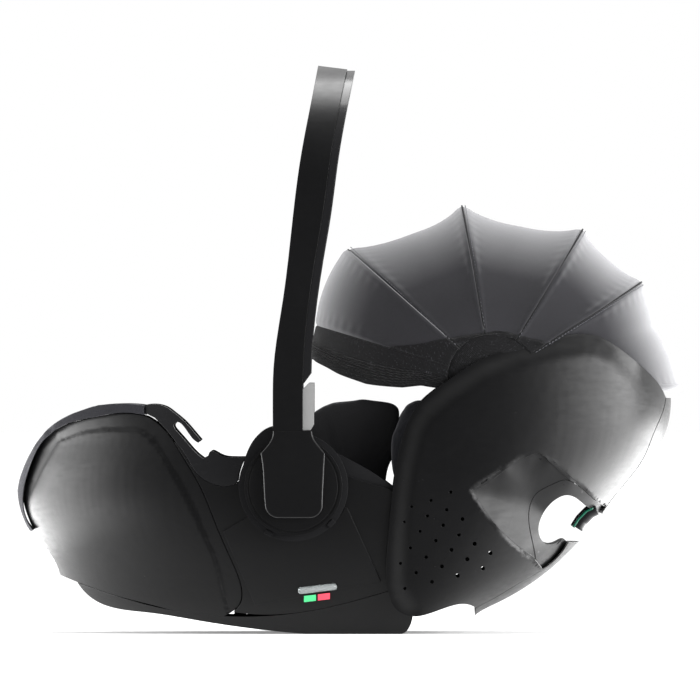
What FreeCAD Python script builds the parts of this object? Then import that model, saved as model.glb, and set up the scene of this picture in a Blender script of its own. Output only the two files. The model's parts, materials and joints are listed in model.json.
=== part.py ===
import FreeCAD, Part
import math
import os

# Infant car seat with a carry handle, a reclining head end and a fan canopy.
# Row frame, millimetres: +X from the foot end to the head end, +Z up, origin on the floor.
# Each piece is one STEP file in parts/, named after its node. The seat is drawn lying flat,
# with the handle upright and the canopy open.

V = FreeCAD.Vector

# ---------------------------------------------------------------- driving dimensions
SHELL_LENGTH = 700.0      # foot end to canopy lip
SHELL_WIDTH = 380.0       # across the head panels
SHELL_HEIGHT = 313.0      # floor to the top of the head panels
PANEL_WALL = 3.0          # outer plastic panels
STRUCTURE_WALL = 4.0      # tub and back shell
ROCKER_WALL = 3.5
CHANNEL_WALL = 2.5        # shoulder belt channel
PANEL_GAP = 0.5           # shadow gap between neighbouring panels
SLIDE_GAP = 1.0           # clearance between pieces that pass each other
PIN_CLEARANCE = 0.05      # radial, a running fit
POD_PROUD = 1.0           # side pods stand out from the base body
POD_RAISE = 3.0           # raised middle of each side pod
COLLAR_RADIUS = 57.0      # fixed collar of the handle joint
COLLAR_THICKNESS = 11.0
HUB_RADIUS = 51.0         # rotating handle disc
HUB_THICKNESS = 13.0
HUB_PIN_RADIUS = 9.0
TONGUE_THICKNESS = 10.0   # end of the handle inside the hub cover
COVER_WALL = 2.5
HANDLE_DEPTH = 39.0       # handle band seen from the side
HANDLE_WALL = 19.0        # handle arm seen from the front
HANDLE_CROWN = 14.0       # handle grip, thickness at the top
HANDLE_GAP = 6.0          # grip to the canopy lip when the handle swings over it
LINER_DEPTH = 8.0         # rear strip of the handle band
TRIGGER_TRAVEL = 4.0
CLOTH = 2.0               # canopy fabric
RIB_THICKNESS = 2.4
RIB_WIDTH = 8.0
RIB_SPACING = 0.5         # between ribs stacked on the canopy pins
CANOPY_PIN_RADIUS = 3.0
RECLINE_PIN_RADIUS = 6.0
PAD_THICKNESS = 15.0
PAD_GAP = 1.0             # cushions to the shells they lie on
BACK_ANGLE = 35.5         # backrest above the horizontal when lying flat
HEADREST_HALF = 88.0      # half width of the headrest shell
HEADREST_WALL = 5.0
HEADREST_PAD = 12.0
WEBBING_WIDTH = 32.0
WEBBING_THICKNESS = 1.6
BUCKLE_WIDTH = 52.0
BUTTON_TRAVEL = 3.0
LATCH_BAR_RADIUS = 6.0
SCREW_HEAD_RADIUS = 5.0
SCREW_HEAD = 1.6
VENT_SMALL = 1.2          # radius of the smallest vent hole
VENT_LARGE = 2.2
VIAL_RADIUS = 3.6

# The outlines below are drawn for one size and follow the three overall sizes.
KX = SHELL_LENGTH / 700.0
KY = SHELL_WIDTH / 380.0
KZ = SHELL_HEIGHT / 313.0
FAR = 500.0 * max(KX, KY, KZ)

os.makedirs("parts", exist_ok=True)
made = {}


def at(x, z):
    """A side-view place, scaled with the overall length and height."""
    return (x * KX, z * KZ)


def scaled(points):
    return [at(x, z) for x, z in points]


HUB = at(-59.0, 154.0)        # handle axis
RECLINE = at(70.0, 58.0)      # backrest axis
CANOPY = at(148.7, 266.0)     # canopy axis
HIP = at(75.0, 70.0)          # where the backrest's surface starts

# places across the seat, from the side pods outwards
Y_POD = 179.0 * KY + POD_PROUD
Y_COLLAR = Y_POD + PANEL_GAP
Y_DISC = Y_COLLAR + COLLAR_THICKNESS + PANEL_GAP
Y_TONGUE = Y_DISC + HUB_THICKNESS
Y_COVER = Y_TONGUE + TONGUE_THICKNESS
Y_OUTER = Y_COVER + COVER_WALL


# ---------------------------------------------------------------- drawing helpers
def save(name, shape):
    """Writes one node and keeps it for the pieces that fit to it."""
    solids = [s for s in shape.Solids if s.Volume > 1.0]
    shape = solids[0] if len(solids) == 1 else Part.makeCompound(solids)
    shape.exportStep(f"parts/{name}.step")
    made[name] = shape
    return shape


def mirrored(shape):
    return shape.mirror(V(0, 0, 0), V(0, 1, 0))


def both(name, right):
    """The +Y piece is on the child's right; its mirror is the left one."""
    save(name + "_right", right)
    save(name + "_left", mirrored(right))


def pair(name, right):
    """Two identical pieces in one node, one on each side."""
    save(name, Part.makeCompound([right, mirrored(right)]))


def joined(shapes):
    whole = shapes[0]
    for s in shapes[1:]:
        whole = whole.fuse(s)
    return whole


def run(points):
    """One edge: a line through two places, an arc through three, a smooth curve through more."""
    p = [V(x, 0, z) for x, z in points]
    if len(p) == 2:
        return Part.LineSegment(p[0], p[1]).toShape()
    if len(p) == 3:
        return Part.Arc(p[0], p[1], p[2]).toShape()
    curve = Part.BSplineCurve()
    curve.interpolate(p)
    return curve.toShape()


def outline(*runs):
    """A closed side-view face from chained runs. A gap between two runs is closed by a line."""
    edges = []
    for i, points in enumerate(runs):
        edges.append(run(points))
        after = runs[(i + 1) % len(runs)][0]
        if math.dist(points[-1], after) > 1e-6:
            edges.append(run([points[-1], after]))
    return Part.Face(Part.Wire(edges))


def polygon(points):
    return Part.Face(Part.makePolygon([V(x, 0, z) for x, z in points + points[:1]]))


def above(points):
    """Everything over a smooth side-view line, to both sides and upwards."""
    a, b = points[0], points[-1]
    return outline([(a[0] - FAR, a[1]), a], points, [b, (b[0] + FAR, b[1])],
                   [(b[0] + FAR, b[1] + FAR), (a[0] - FAR, b[1] + FAR)])


def slab(face, y0=-FAR, y1=FAR):
    """A side-view face pulled across the seat's width from y0 to y1."""
    face = face.copy()
    face.translate(V(0, y0, 0))
    return face.extrude(V(0, y1 - y0, 0))


def disc(centre, radius, y0=-FAR, y1=FAR):
    """A round piece across the seat's width, on a side-view centre."""
    return Part.makeCylinder(radius, y1 - y0, V(centre[0], y0, centre[1]), V(0, 1, 0))


def block(x0, x1, y0, y1, z0, z1):
    return Part.makeBox(x1 - x0, y1 - y0, z1 - z0, V(x0, y0, z0))


def polar(centre, radius, degrees):
    a = math.radians(degrees)
    return (centre[0] + radius * math.cos(a), centre[1] + radius * math.sin(a))


def grown(face, distance):
    """A side-view face moved outwards by a distance all round, its edges drawn again as plain curves."""
    runs = []
    for edge in face.makeOffset2D(distance).Faces[0].OuterWire.OrderedEdges:
        if edge.Length < 0.05:
            continue
        straight = edge.Curve.TypeId == "Part::GeomLine"
        points = [(p.x, p.z) for p in edge.discretize(2 if straight else 9)]
        runs.append(points)
    for i, points in enumerate(runs):
        after = runs[(i + 1) % len(runs)]
        near = min(math.dist(points[-1], after[0]), math.dist(points[-1], after[-1]))
        far = min(math.dist(points[0], after[0]), math.dist(points[0], after[-1]))
        if far < near:
            points.reverse()
    for i, points in enumerate(runs):
        runs[i - 1][-1] = points[0]
    return outline(*runs)


# ---------------------------------------------------------------- body envelopes
PLAN_POINTS = 17          # places along each rounded plan curve


def plan_section(z, flat_x, middle_x, nose_x, half, power):
    """Plan view at one height: parallel sides, closed by a rounded nose at nose_x."""
    points = []
    for i in range(PLAN_POINTS):
        t = math.pi / 2 - math.pi * i / (PLAN_POINTS - 1)
        along = max(math.cos(t), 0.0) ** (2 / power)
        across = math.copysign(abs(math.sin(t)) ** (2 / power), t)
        if i == PLAN_POINTS // 2:
            across = 0.0
        points.append(V(middle_x + (nose_x - middle_x) * along, half * across, z))
    curve = Part.BSplineCurve()
    curve.interpolate(points)
    a, b = V(flat_x, half, z), V(flat_x, -half, z)
    return Part.Wire([Part.LineSegment(a, points[0]).toShape(), curve.toShape(),
                      Part.LineSegment(points[-1], b).toShape(), Part.LineSegment(b, a).toShape()])


def envelope(stations, flat_x, middle_x, power, inset):
    """A body lofted from plan sections. Each station is (height, nose x, half width)."""
    toward = 1.0 if stations[0][1] > middle_x else -1.0
    wires = [plan_section(z * KZ, flat_x * KX, middle_x * KX, nose * KX - toward * inset,
                          half * KY - inset, power)
             for z, nose, half in stations]
    return Part.makeLoft(wires, True, False)


BASE_STATIONS = [(-8, -262, 122), (30, -284, 148), (61, -305, 162), (108, -332, 174),
                 (140, -343, 178), (175, -341, 179), (205, -333, 177), (260, -312, 168)]
HEAD_STATIONS = [(5, 126, 170), (30, 152, 176.4), (70, 214, 184), (110, 254, 188.5), (150, 292, 190),
                 (184, 318, 189.4), (212, 332, 188), (246, 337, 185.3), (280, 334, 181.3), (320, 322, 175)]
BACK_STATIONS = [(5, 126, 137), (30, 152, 141), (70, 214, 149), (110, 250, 158), (150, 288, 163),
                 (184, 314, 164), (212, 328, 161), (246, 330, 155), (280, 326, 150), (320, 312, 144)]
envelopes = {}


def base_body(inset):
    key = ("base", inset)
    if key not in envelopes:
        envelopes[key] = envelope(BASE_STATIONS, 130, 0, 2.4, inset)
    return envelopes[key]


def head_body(inset):
    key = ("head", inset)
    if key not in envelopes:
        envelopes[key] = envelope(HEAD_STATIONS, 15, 40, 3.0, inset)
    return envelopes[key]


def back_body(inset):
    key = ("back", inset)
    if key not in envelopes:
        envelopes[key] = envelope(BACK_STATIONS, 15, 90, 2.6, inset)
    return envelopes[key]


def skin(body, face, outer, inner, y0=-FAR, y1=FAR):
    """The layer between two insets of a body, inside a side-view face."""
    return body(outer).common(slab(face, y0, y1)).cut(body(inner))


SHELL_INSET = max(PANEL_WALL, ROCKER_WALL) + 0.3      # tub wall behind the outer panels


# ---------------------------------------------------------------- base: side-view lines
SEAM = [(-285, 53.5), (-243, 39.5), (-191, 26.0), (-131, 19.0), (-56, 22.4), (8, 36.0), (39, 45.0), (80, 57.0)]
FOOT_FRONT = [(-304, 61), (-332, 107), (-342, 127), (-343, 140), (-335, 174), (-321, 201), (-300, 217),
              (-271, 225.5), (-230, 230), (-212, 227)]
FOOT_BACK = [(-212, 227), (-190, 209), (-174, 184), (-157, 155), (-140, 114), (-123, 75), (-114, 50),
             (-113.5, 37), (-122, 24)]
RIM_ROLL = [(-335, 106.5), (-341.5, 116), (-348, 129), (-349, 148), (-341.6, 174), (-326, 202), (-303.7, 222),
            (-274.6, 235), (-243, 240), (-214, 238.5)]
GUIDE_UNDER = [(-191.5, 212.8), (-181.2, 199.7), (-169.1, 182.4), (-160.5, 168.6), (-150.2, 160),
               (-139.8, 155.7), (-127.7, 154.3), (-117.3, 158.3)]
TUB_FLOOR = [(-345, 120), (-300, 84), (-240, 64), (-150, 52), (-60, 46), (20, 44), (60, 44), (84, 44)]
TUB_RIM = [(84, 112), (66, 138), (47, 152), (31, 164), (0, 182), (-30, 196), (-59, 202), (-85, 195),
           (-105, 176), (-118, 156), (-139, 154), (-150, 158.5), (-160, 166.5), (-181, 197.5), (-192, 210),
           (-212, 222), (-243, 226), (-275, 222), (-303, 208), (-322, 188), (-337, 158)]
PAD_TOP = [(-345, 160), (-312, 128), (-270, 108), (-210, 92), (-150, 80), (-60, 70), (0, 66), (60, 64)]


def foot_face():
    lower = [p for p in SEAM if p[0] <= -131] + [(-122, 24)]
    return outline(scaled([(-304, 61), (-285, 53.5)]), scaled(lower),
                   scaled(list(reversed(FOOT_BACK))), scaled(list(reversed(FOOT_FRONT))))


ROCKER_CURVE = [(-285, 53), (-262, 32), (-210, 22), (-156, 13.5), (-94, 4.6), (-45, 0)]
ROCKER_HEEL = [(50, 0), (58, 2), (64, 12), (66, 24)]


def rocker_face():
    seam = [(x * KX, z * KZ - PANEL_GAP) for x, z in SEAM[:-1]]
    end = (ROCKER_HEEL[-1][0] * KX, seam[-1][1])
    return outline(scaled(ROCKER_CURVE), scaled([ROCKER_CURVE[-1], ROCKER_HEEL[0]]), scaled(ROCKER_HEEL),
                   [end, seam[-1]], list(reversed(seam)))


def lifted(points, dx, dz):
    return [(x + dx, z + dz) for x, z in points]


LATCH_BAR_PLACES = [at(-196.0, 36.0), at(22.0, 15.0)]
LATCH_WINDOW = (17.0, 52.0)           # half sizes of the windows under the latch bars
SCREW_PLACES = [(-115.0, 70.0), (-115.0, -70.0), (-30.0, 98.0), (-30.0, -98.0)]
RELEASE_WINDOW = [(-300, 38), (-256, 38), (-256, 49), (-300, 49)]


def rocker_height(x):
    """Outer height of the rocker's curve at one place along the seat."""
    for (x0, z0), (x1, z1) in zip(ROCKER_CURVE, ROCKER_CURVE[1:]):
        if x0 <= x <= x1:
            return (z0 + (z1 - z0) * (x - x0) / (x1 - x0)) * KZ
    return 0.0


def screw_seat(x):
    """Underside of a screw head, just inside the rocker's outer face all round the head."""
    return rocker_height(x - SCREW_HEAD_RADIUS / KX) + 0.2


def build_rocker():
    hollow_line = lifted(scaled(ROCKER_CURVE), 0, ROCKER_WALL)
    heel = lifted(scaled(ROCKER_HEEL), -ROCKER_WALL, ROCKER_WALL)
    tail = heel[-1]
    top = 80 * KZ
    hollow_face = outline([(hollow_line[0][0] - 40, hollow_line[0][1]), hollow_line[0]], hollow_line,
                          [hollow_line[-1], heel[0]], heel, [tail, (tail[0], top)],
                          [(tail[0], top), (hollow_line[0][0] - 40, top)])
    rocker = base_body(0).common(slab(rocker_face()))
    rocker = rocker.cut(base_body(ROCKER_WALL).common(slab(hollow_face)))
    half_x, half_y = LATCH_WINDOW
    for x, z in LATCH_BAR_PLACES:
        rocker = rocker.cut(block(x - half_x, x + half_x, -half_y, half_y, -20, z))
        for side in (-1, 1):
            y = side * (half_y + 8)
            cheek = block(x - 12, x + 12, min(y - 5, y + 5), max(y - 5, y + 5), -10, z + LATCH_BAR_RADIUS + 3)
            cheek = cheek.common(base_body(0)).common(slab(outline(
                scaled(ROCKER_CURVE), scaled([ROCKER_CURVE[-1], ROCKER_HEEL[0]]), scaled(ROCKER_HEEL),
                [heel[-1], (heel[-1][0], top)], [(hollow_line[0][0], top), hollow_line[0]])))
            rocker = rocker.fuse(cheek)
        rocker = rocker.cut(disc((x, z), LATCH_BAR_RADIUS, -half_y - 13, half_y + 13))
    for x, y in SCREW_PLACES:
        top = screw_seat(x) + SCREW_HEAD
        rocker = rocker.cut(Part.makeCylinder(1.9, 60, V(x * KX, y * KY, -10)))
        rocker = rocker.cut(Part.makeCylinder(SCREW_HEAD_RADIUS + 0.2, top + 10, V(x * KX, y * KY, -10)))
    rocker = rocker.cut(slab(polygon(scaled(RELEASE_WINDOW)), -42 * KY, 42 * KY))
    for side in (-1, 1):
        rocker = rocker.cut(foot_block(side, PANEL_GAP / 2))
    under_tub = TUB_FLOOR[-1][1] * KZ - PANEL_GAP
    rocker = rocker.cut(block(tail[0] - 1, FAR, -FAR, FAR, under_tub, FAR))
    save("rocker_base", rocker)

    bars = [disc(c, LATCH_BAR_RADIUS, -half_y - 13, half_y + 13) for c in LATCH_BAR_PLACES]
    save("latch_bars", Part.makeCompound(bars))
    save("floor_feet", Part.makeCompound([foot_block(side, 0.0) for side in (-1, 1)]))


def foot_block(side, grow):
    """A rubber foot let into the rocker's flat, 2 mm deep."""
    y0, y1 = sorted((side * 62 * KY, side * 100 * KY))
    return block(8 * KX - grow, 48 * KX + grow, y0 - grow, y1 + grow, -grow, 2 + grow)


def build_release_handle():
    """The pull that frees the seat from a vehicle base, in the rocker's front."""
    window = polygon(scaled(RELEASE_WINDOW)).makeOffset2D(-SLIDE_GAP)
    grip = slab(window, -42 * KY + SLIDE_GAP, 42 * KY - SLIDE_GAP)
    front = slab(rocker_face())
    front.translate(V(1.2, 0, 1.0))
    save("base_release_handle", grip.common(front))


def build_foot_panels():
    panel = skin(base_body, foot_face().cut(rocker_face()), 0, PANEL_WALL)
    both("foot_panel", panel.common(block(-FAR, FAR, PANEL_GAP / 2, FAR, -50, FAR)))


def build_tub():
    outer = SHELL_INSET
    body = base_body(outer).common(slab(outline(scaled(TUB_FLOOR), scaled(TUB_RIM))))
    inside = base_body(outer + STRUCTURE_WALL).common(slab(above(lifted(scaled(TUB_FLOOR), 0, STRUCTURE_WALL))))
    tub = body.cut(inside)
    # behind the hip only the side lugs that carry the backrest's pins remain
    edge = at(50, 0)[0]
    lug = STRUCTURE_WALL + 2
    inner = 161.0 * KY - outer - lug
    tub = tub.cut(block(edge, FAR, -inner, inner, -50, FAR))
    tub = tub.cut(slab(polygon([(at(84, 0)[0], -50), (FAR, -50), (FAR, FAR), (at(84, 0)[0], FAR)])))
    for x, y in SCREW_PLACES:
        post = Part.makeCylinder(6, TUB_FLOOR[-1][1] * KZ + 2, V(x * KX, y * KY, 0))
        bottom = block(-FAR, FAR, -FAR, FAR, screw_seat(x) + ROCKER_WALL + 0.3, FAR)
        tub = tub.fuse(post.common(bottom))
        tub = tub.cut(Part.makeCylinder(1.8, 28, V(x * KX, y * KY, screw_seat(x))))
    tub = tub.cut(disc(RECLINE, RECLINE_PIN_RADIUS))
    tub = tub.cut(disc(HUB, 20))
    save("tub_shell", tub)

    screws = []
    for x, y in SCREW_PLACES:
        z = screw_seat(x)
        shank = Part.makeCylinder(1.8, 28, V(x * KX, y * KY, z))
        head = Part.makeCylinder(SCREW_HEAD_RADIUS, SCREW_HEAD, V(x * KX, y * KY, z))
        screws.append(shank.fuse(head))
    save("base_screws", Part.makeCompound(screws))



# ---------------------------------------------------------------- base: side pods and level
POD_TOP = [(78, 138), (58, 143), (41, 151), (22, 157), (-4, 166)]
RAISED = [(-132, 107), (-98.8, 30), (32, 55), (-3, 132), (-60, 150)]
VIAL = ((-51.0, 45.5), (-17.0, 49.7))


def pod_face():
    back = [(-183.2, 200.3)] + [(x + 1.0, z) for x, z in FOOT_BACK[2:]]
    low = [(-121, 23)] + [p for p in SEAM if p[0] >= -60]
    crown = [polar((-59, 154), 54, a) for a in (13, 45, 90, 140, 174)]
    return outline(scaled(low), scaled([low[-1], POD_TOP[0]]), scaled(POD_TOP), scaled(crown),
                   scaled(list(reversed(GUIDE_UNDER[1:]))), scaled([GUIDE_UNDER[1], back[0]]), scaled(back))


def vial_face(grow):
    (x0, z0), (x1, z1) = scaled(VIAL)
    tilt = math.atan2(z1 - z0, x1 - x0)
    nx, nz = -math.sin(tilt), math.cos(tilt)
    ux, uz = math.cos(tilt), math.sin(tilt)
    r = VIAL_RADIUS + grow
    a0, a1 = (x0 + nx * r, z0 + nz * r), (x1 + nx * r, z1 + nz * r)
    b0, b1 = (x0 - nx * r, z0 - nz * r), (x1 - nx * r, z1 - nz * r)
    return outline([a0, a1], [a1, (x1 + ux * r, z1 + uz * r), b1],
                   [b1, b0], [b0, (x0 - ux * r, z0 - uz * r), a0])


def build_pods():
    pod = skin(base_body, pod_face(), -POD_PROUD, PANEL_WALL, 0, FAR)
    raised = skin(base_body, polygon(scaled(RAISED)), -POD_PROUD - POD_RAISE, 0, 0, FAR)
    pod = pod.fuse(raised)
    pod = pod.cut(disc(HUB, COLLAR_RADIUS + PANEL_GAP, Y_COLLAR - 0.2, FAR))
    pod = pod.cut(disc(HUB, 20, 0, FAR))
    pod = pod.cut(slab(vial_face(0.3), 0, FAR))
    both("side_pod", pod)

    (x0, z0), (x1, z1) = scaled(VIAL)
    surface = 157.4 * KY + POD_PROUD + POD_RAISE
    axis = V(x1 - x0, 0, z1 - z0)
    base = V(x0, surface - VIAL_RADIUS / 3, z0)
    capsule = Part.makeCylinder(VIAL_RADIUS, axis.Length, base, axis)
    capsule = capsule.fuse(Part.makeSphere(VIAL_RADIUS, base)).fuse(Part.makeSphere(VIAL_RADIUS, base + axis))
    pair("level_vials", capsule)
    outer = -POD_PROUD - POD_RAISE
    for name, left, right in (("level_scale_green", -48, -35.5), ("level_scale_red", -33.5, -21)):
        corners = [(left, 35 + (left + 35) * 0.12), (right, 35 + (right + 35) * 0.12),
                   (right, 41.5 + (right + 35) * 0.12), (left, 41.5 + (left + 35) * 0.12)]
        pair(name, skin(base_body, polygon(scaled(corners)), outer - 0.6, outer - 0.02, 0, FAR))


def build_guides():
    """Hooks on both sides of the rim that hold the vehicle's lap belt."""
    top = [(-214, 239), (-200, 239.5), (-190, 236), (-184.6, 232), (-172.6, 222), (-162, 210),
           (-155.3, 202.3)]
    slot = [(-158, 199.7), (-165.7, 206), (-174.3, 217.8), (-180.3, 221.2), (-183.8, 217.8), (-181.5, 213),
            (-174.3, 204.9), (-160.5, 189.3), (-152.9, 183.2)]
    root = [(-147.7, 186), (-145, 191), (-134.7, 186.7), (-122.7, 184.5), (-111, 184.5)]
    collar = [polar((-59, 154), COLLAR_RADIUS + 1.5, a) for a in (149, 162, 174.5)]
    under = list(reversed([(x, z + PANEL_GAP) for x, z in GUIDE_UNDER]))
    face = outline(scaled(top), scaled(slot), scaled(root), scaled(collar), scaled(under),
                   scaled([(-191.5, 213.3), (-203.5, 225.6)]), scaled([(-203.5, 225.6), (-213.9, 230.7)]))
    face = max(face.cut(pod_face()).Faces, key=lambda part: part.Area)
    guide = skin(base_body, face, -1.5, 2.8, 0, FAR)
    arm_face = outline(scaled([(-214, 250), (-214, 229)]), scaled([(-214, 229), (-192, 215)]),
                       scaled([(-192, 215), (-150, 176)]), scaled([(-130, 250), (-214, 250)]))
    arm = slab(face, 0, FAR).common(slab(arm_face))
    arm = arm.common(base_body(-1.5)).cut(base_body(22))
    both("lap_belt_guide", guide.fuse(arm))


# ---------------------------------------------------------------- handle joint and handle
def build_hub_seats():
    collar = disc(HUB, COLLAR_RADIUS, Y_COLLAR, Y_COLLAR + COLLAR_THICKNESS)
    lobe = slab(outline(scaled([(-112, 172), (-104, 197), (-91, 212), (-82, 216)]),
                        scaled([(-82, 216), (-60, 212)]), scaled([(-60, 150), (-112, 172)])),
                Y_COLLAR, Y_COLLAR + COLLAR_THICKNESS)
    seat = collar.fuse(lobe)
    for angle in (-118, -44):
        x, z = polar(HUB, COLLAR_RADIUS - 2, angle)
        tab = block(-4, 4, Y_COLLAR, Y_COLLAR + COLLAR_THICKNESS + 3, -2.5, 2.5)
        tab.rotate(V(0, 0, 0), V(0, 1, 0), 90 - angle)
        tab.translate(V(x, 0, z))
        seat = seat.fuse(tab)
    boss = disc(HUB, 20, Y_COLLAR - 9, Y_COLLAR)
    pin = disc(HUB, HUB_PIN_RADIUS, Y_COLLAR, Y_TONGUE - PANEL_GAP)
    pair("hub_seats", joined([seat, boss, pin]))


def build_hub_discs():
    hub = disc(HUB, HUB_RADIUS, Y_DISC, Y_TONGUE)
    groove = disc(HUB, HUB_RADIUS - 3, Y_TONGUE - 1.2, Y_TONGUE + 1).cut(
        disc(HUB, HUB_RADIUS - 5, Y_TONGUE - 1.2, Y_TONGUE + 1))
    hub = hub.cut(groove).cut(disc(HUB, HUB_PIN_RADIUS + PIN_CLEARANCE, 0, FAR))
    pair("hub_discs", hub)


SPOON_NECK = 212.0
SPOON = [[(-80.3, 212), (-81.5, 204), (-87, 195.5), (-93, 188.7)],
         [(-93, 188.7), (-90.5, 170), (-89.5, 150), (-88.5, 136)],
         [(-88.5, 136), (-84.5, 126), (-75, 121.7)],
         [(-75, 121.7), (-42, 121.7)],
         [(-42, 121.7), (-32, 126), (-28.5, 136)],
         [(-28.5, 136), (-28, 150), (-27, 170), (-26, 188.7)],
         [(-26, 188.7), (-31.5, 195.5), (-37.5, 204), (-39.5, 212)]]


def spoon_face(inset):
    face = outline(*[scaled(r) for r in SPOON])
    return grown(face, -inset) if inset else face


def build_hub_covers():
    cover = slab(spoon_face(0), Y_TONGUE, Y_OUTER)
    outer_face = [e for e in cover.Edges
                  if abs(e.BoundBox.YMin - Y_OUTER) < 0.01 and abs(e.BoundBox.YMax - Y_OUTER) < 0.01]
    rim = [e for e in outer_face if e.BoundBox.ZMin < SPOON_NECK * KZ - 1]
    cover = cover.makeFillet(1.5, rim)
    pocket = slab(spoon_face(COVER_WALL), 0, Y_COVER)
    neck = slab(outline(scaled([(-77.8, 190), (-77.8, 220)]), scaled([(-42, 220), (-42, 190)])), 0, Y_COVER)
    pair("hub_covers", cover.cut(pocket).cut(neck))


HANDLE_FRONT = [(-80.3, 212), (-80.4, 245), (-79.6, 277.7), (-69.7, 349.4), (-60.3, 427.4), (-51, 499),
                (-41.6, 549), (-33.3, 592)]
TRIGGER_X = -49.0
TRIGGER_TOP = 262.0


def handle_back(shift):
    """Rear edge of the band, moved forwards by shift."""
    drop = HANDLE_DEPTH - 39.0
    points = [(5.2, 588), (-3.1, 549), (-12.5, 495), (-19.8, 440), (-27, 397.3), (-36.4, 332.8), (-40.6, 272),
              (-41, 240), (-41, 212)]
    return [(x * KX + drop - shift, z * KZ) for x, z in points]


def lip_reach():
    """Furthest the canopy's rear lip stands from the handle axis."""
    tip = polar(CANOPY, CANOPY_REAR[-1][1] * KX, CANOPY_REAR[-1][0])
    return math.dist(tip, HUB)


def arch(half, top, spring, power, steps=24):
    """A handle arch in the front view, as (y, z) places from the left foot to the right one."""
    places = [(-half, SPOON_NECK * KZ)]
    for i in range(steps + 1):
        t = math.pi * (1 - i / steps)
        y = math.copysign(abs(math.cos(t)) ** (2 / power), math.cos(t)) * half
        z = spring + max(math.sin(t), 0.0) ** (2 / power) * (top - spring)
        places.append((y, z))
    return places + [(half, SPOON_NECK * KZ)]


def arch_wire(places):
    p = [V(0, y, z) for y, z in places]
    curve = Part.BSplineCurve()
    curve.interpolate(p[1:-1])
    return [Part.LineSegment(p[0], p[1]).toShape(), curve.toShape(), Part.LineSegment(p[-2], p[-1]).toShape()]


def handle_band(outer_cut=0.0):
    inner_top = HUB[1] + max(lip_reach() + HANDLE_GAP, 425.5 * KZ)
    spring = 392 * KZ
    outside = arch(Y_OUTER - 0.5 - outer_cut, inner_top + HANDLE_CROWN + 4 - outer_cut, spring, 3.4)
    inside = arch(Y_OUTER - 0.5 - HANDLE_WALL + outer_cut, inner_top + outer_cut, spring, 3.4)
    over, under = arch_wire(outside), arch_wire(inside)
    feet = [Part.LineSegment(V(0, outside[i][0], outside[i][1]), V(0, inside[i][0], inside[i][1])).toShape()
            for i in (0, -1)]
    wire = Part.Wire(Part.__sortEdges__(over + under + feet))
    face = Part.Face(wire)
    face.translate(V(-FAR, 0, 0))
    return face.extrude(V(2 * FAR, 0, 0))


def handle_top():
    return HUB[1] + max(lip_reach() + HANDLE_GAP, 425.5 * KZ) + HANDLE_CROWN


def handle_side(shift):
    """Side view of the band from the front edge to the rear edge less shift."""
    front = scaled(HANDLE_FRONT)
    back = handle_back(shift)
    rise = handle_top() - front[-1][1]
    front[-1] = (front[-1][0], front[-1][1] + rise)
    back[0] = (back[0][0], back[0][1] + rise)
    return outline(front, [front[-1], back[0]], back)


def build_handle():
    band = handle_band()
    side = slab(handle_side(LINER_DEPTH + 0.15))
    shell = band.common(side)
    x = at(TRIGGER_X, 0)[0]
    top = TRIGGER_TOP * KZ
    low = SPOON_NECK * KZ
    shell = shell.cut(block(x, x + 60, -FAR, FAR, low - 5, top))
    y_in, y_out = Y_OUTER - 0.5 - HANDLE_WALL + 2.5, Y_OUTER - 3.0
    for side_sign in (-1, 1):
        y0, y1 = sorted((side_sign * y_in, side_sign * y_out))
        shell = shell.cut(block(x - TRIGGER_TRAVEL - 1.5, x + 60, y0, y1, low + 0.5, top + 0.5))
    neck = outline(scaled([(-77.8, 190), (-77.8, 214)]), scaled([(-56, 214), (-56, 190)]))
    tongue = joined([slab(spoon_face(COVER_WALL), Y_TONGUE, Y_COVER), slab(neck, Y_TONGUE, Y_COVER)])
    shell = joined([shell, tongue, mirrored(tongue)])
    save("handle_shell", shell)

    liner_face = outline(handle_back(LINER_DEPTH - 0.15)[:7],
                         [handle_back(LINER_DEPTH - 0.15)[6], (x + 0.3, 261 * KZ)],
                         [(x + 0.3, 261 * KZ), handle_back(0)[6]], list(reversed(handle_back(0)[:7])))
    liner = handle_band(0.4).common(slab(liner_face))
    rise = handle_top() + 2
    liner = liner.cut(block(-FAR, FAR, -FAR, FAR, rise, FAR * 2))
    save("handle_liner", liner)

    grip = polygon([(x - 0.8, low + 1), (x + 8.0 * KX, low + 1), (x + 11.6 * KX, low + 7),
                    (x + 11.6 * KX, top), (x + 6, top), (x + 0.5, top - 5.5), (x - 0.8, top - 5.5)])
    both("handle_release", slab(grip, y_in + 0.5, y_out - 0.5))


# ---------------------------------------------------------------- backrest
def along(s, n):
    """A side-view place by distance up the backrest's surface and height over it."""
    a = math.radians(BACK_ANGLE)
    return (HIP[0] + s * math.cos(a) - n * math.sin(a), HIP[1] + s * math.sin(a) + n * math.cos(a))


HEAD_LEFT = [(41.6, 38.5), (38.5, 52), (39.5, 95.7), (43.7, 144.6), (48.9, 180.3), (58.8, 218.4), (71.6, 239.7),
             (96.7, 261), (133.7, 285), (173.5, 300.8), (213.2, 310), (245.1, 313), (261, 310), (279.8, 299.5),
             (306.2, 278.2), (324.5, 258.3), (330, 247.5)]
HEAD_REAR = [(330, 247.5), (326.6, 231.9), (317.9, 211.5), (306.8, 184.5), (281.6, 150.8), (262.5, 125.1)]
NOTCH_TOP = [(262.5, 125.1), (247.5, 132.5), (236, 141.5), (226.5, 144.6), (216, 141), (207.4, 133.6),
             (199.5, 121), (197, 108), (200.7, 97.8)]
NOTCH_LOW = [(200.7, 97.8), (207, 93.8), (215, 95.5), (222.2, 98.8), (227.6, 95.7)]
HEAD_LOW = [(227.6, 95.7), (205.2, 69.9), (179.8, 55.1), (152, 38.5), (131, 27.5)]
HEAD_KEEL = [(131, 27.5), (118.2, 31.7), (105.5, 29.6), (84.2, 22.2), (63, 19), (52, 23.2), (41.6, 38.5)]
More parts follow.
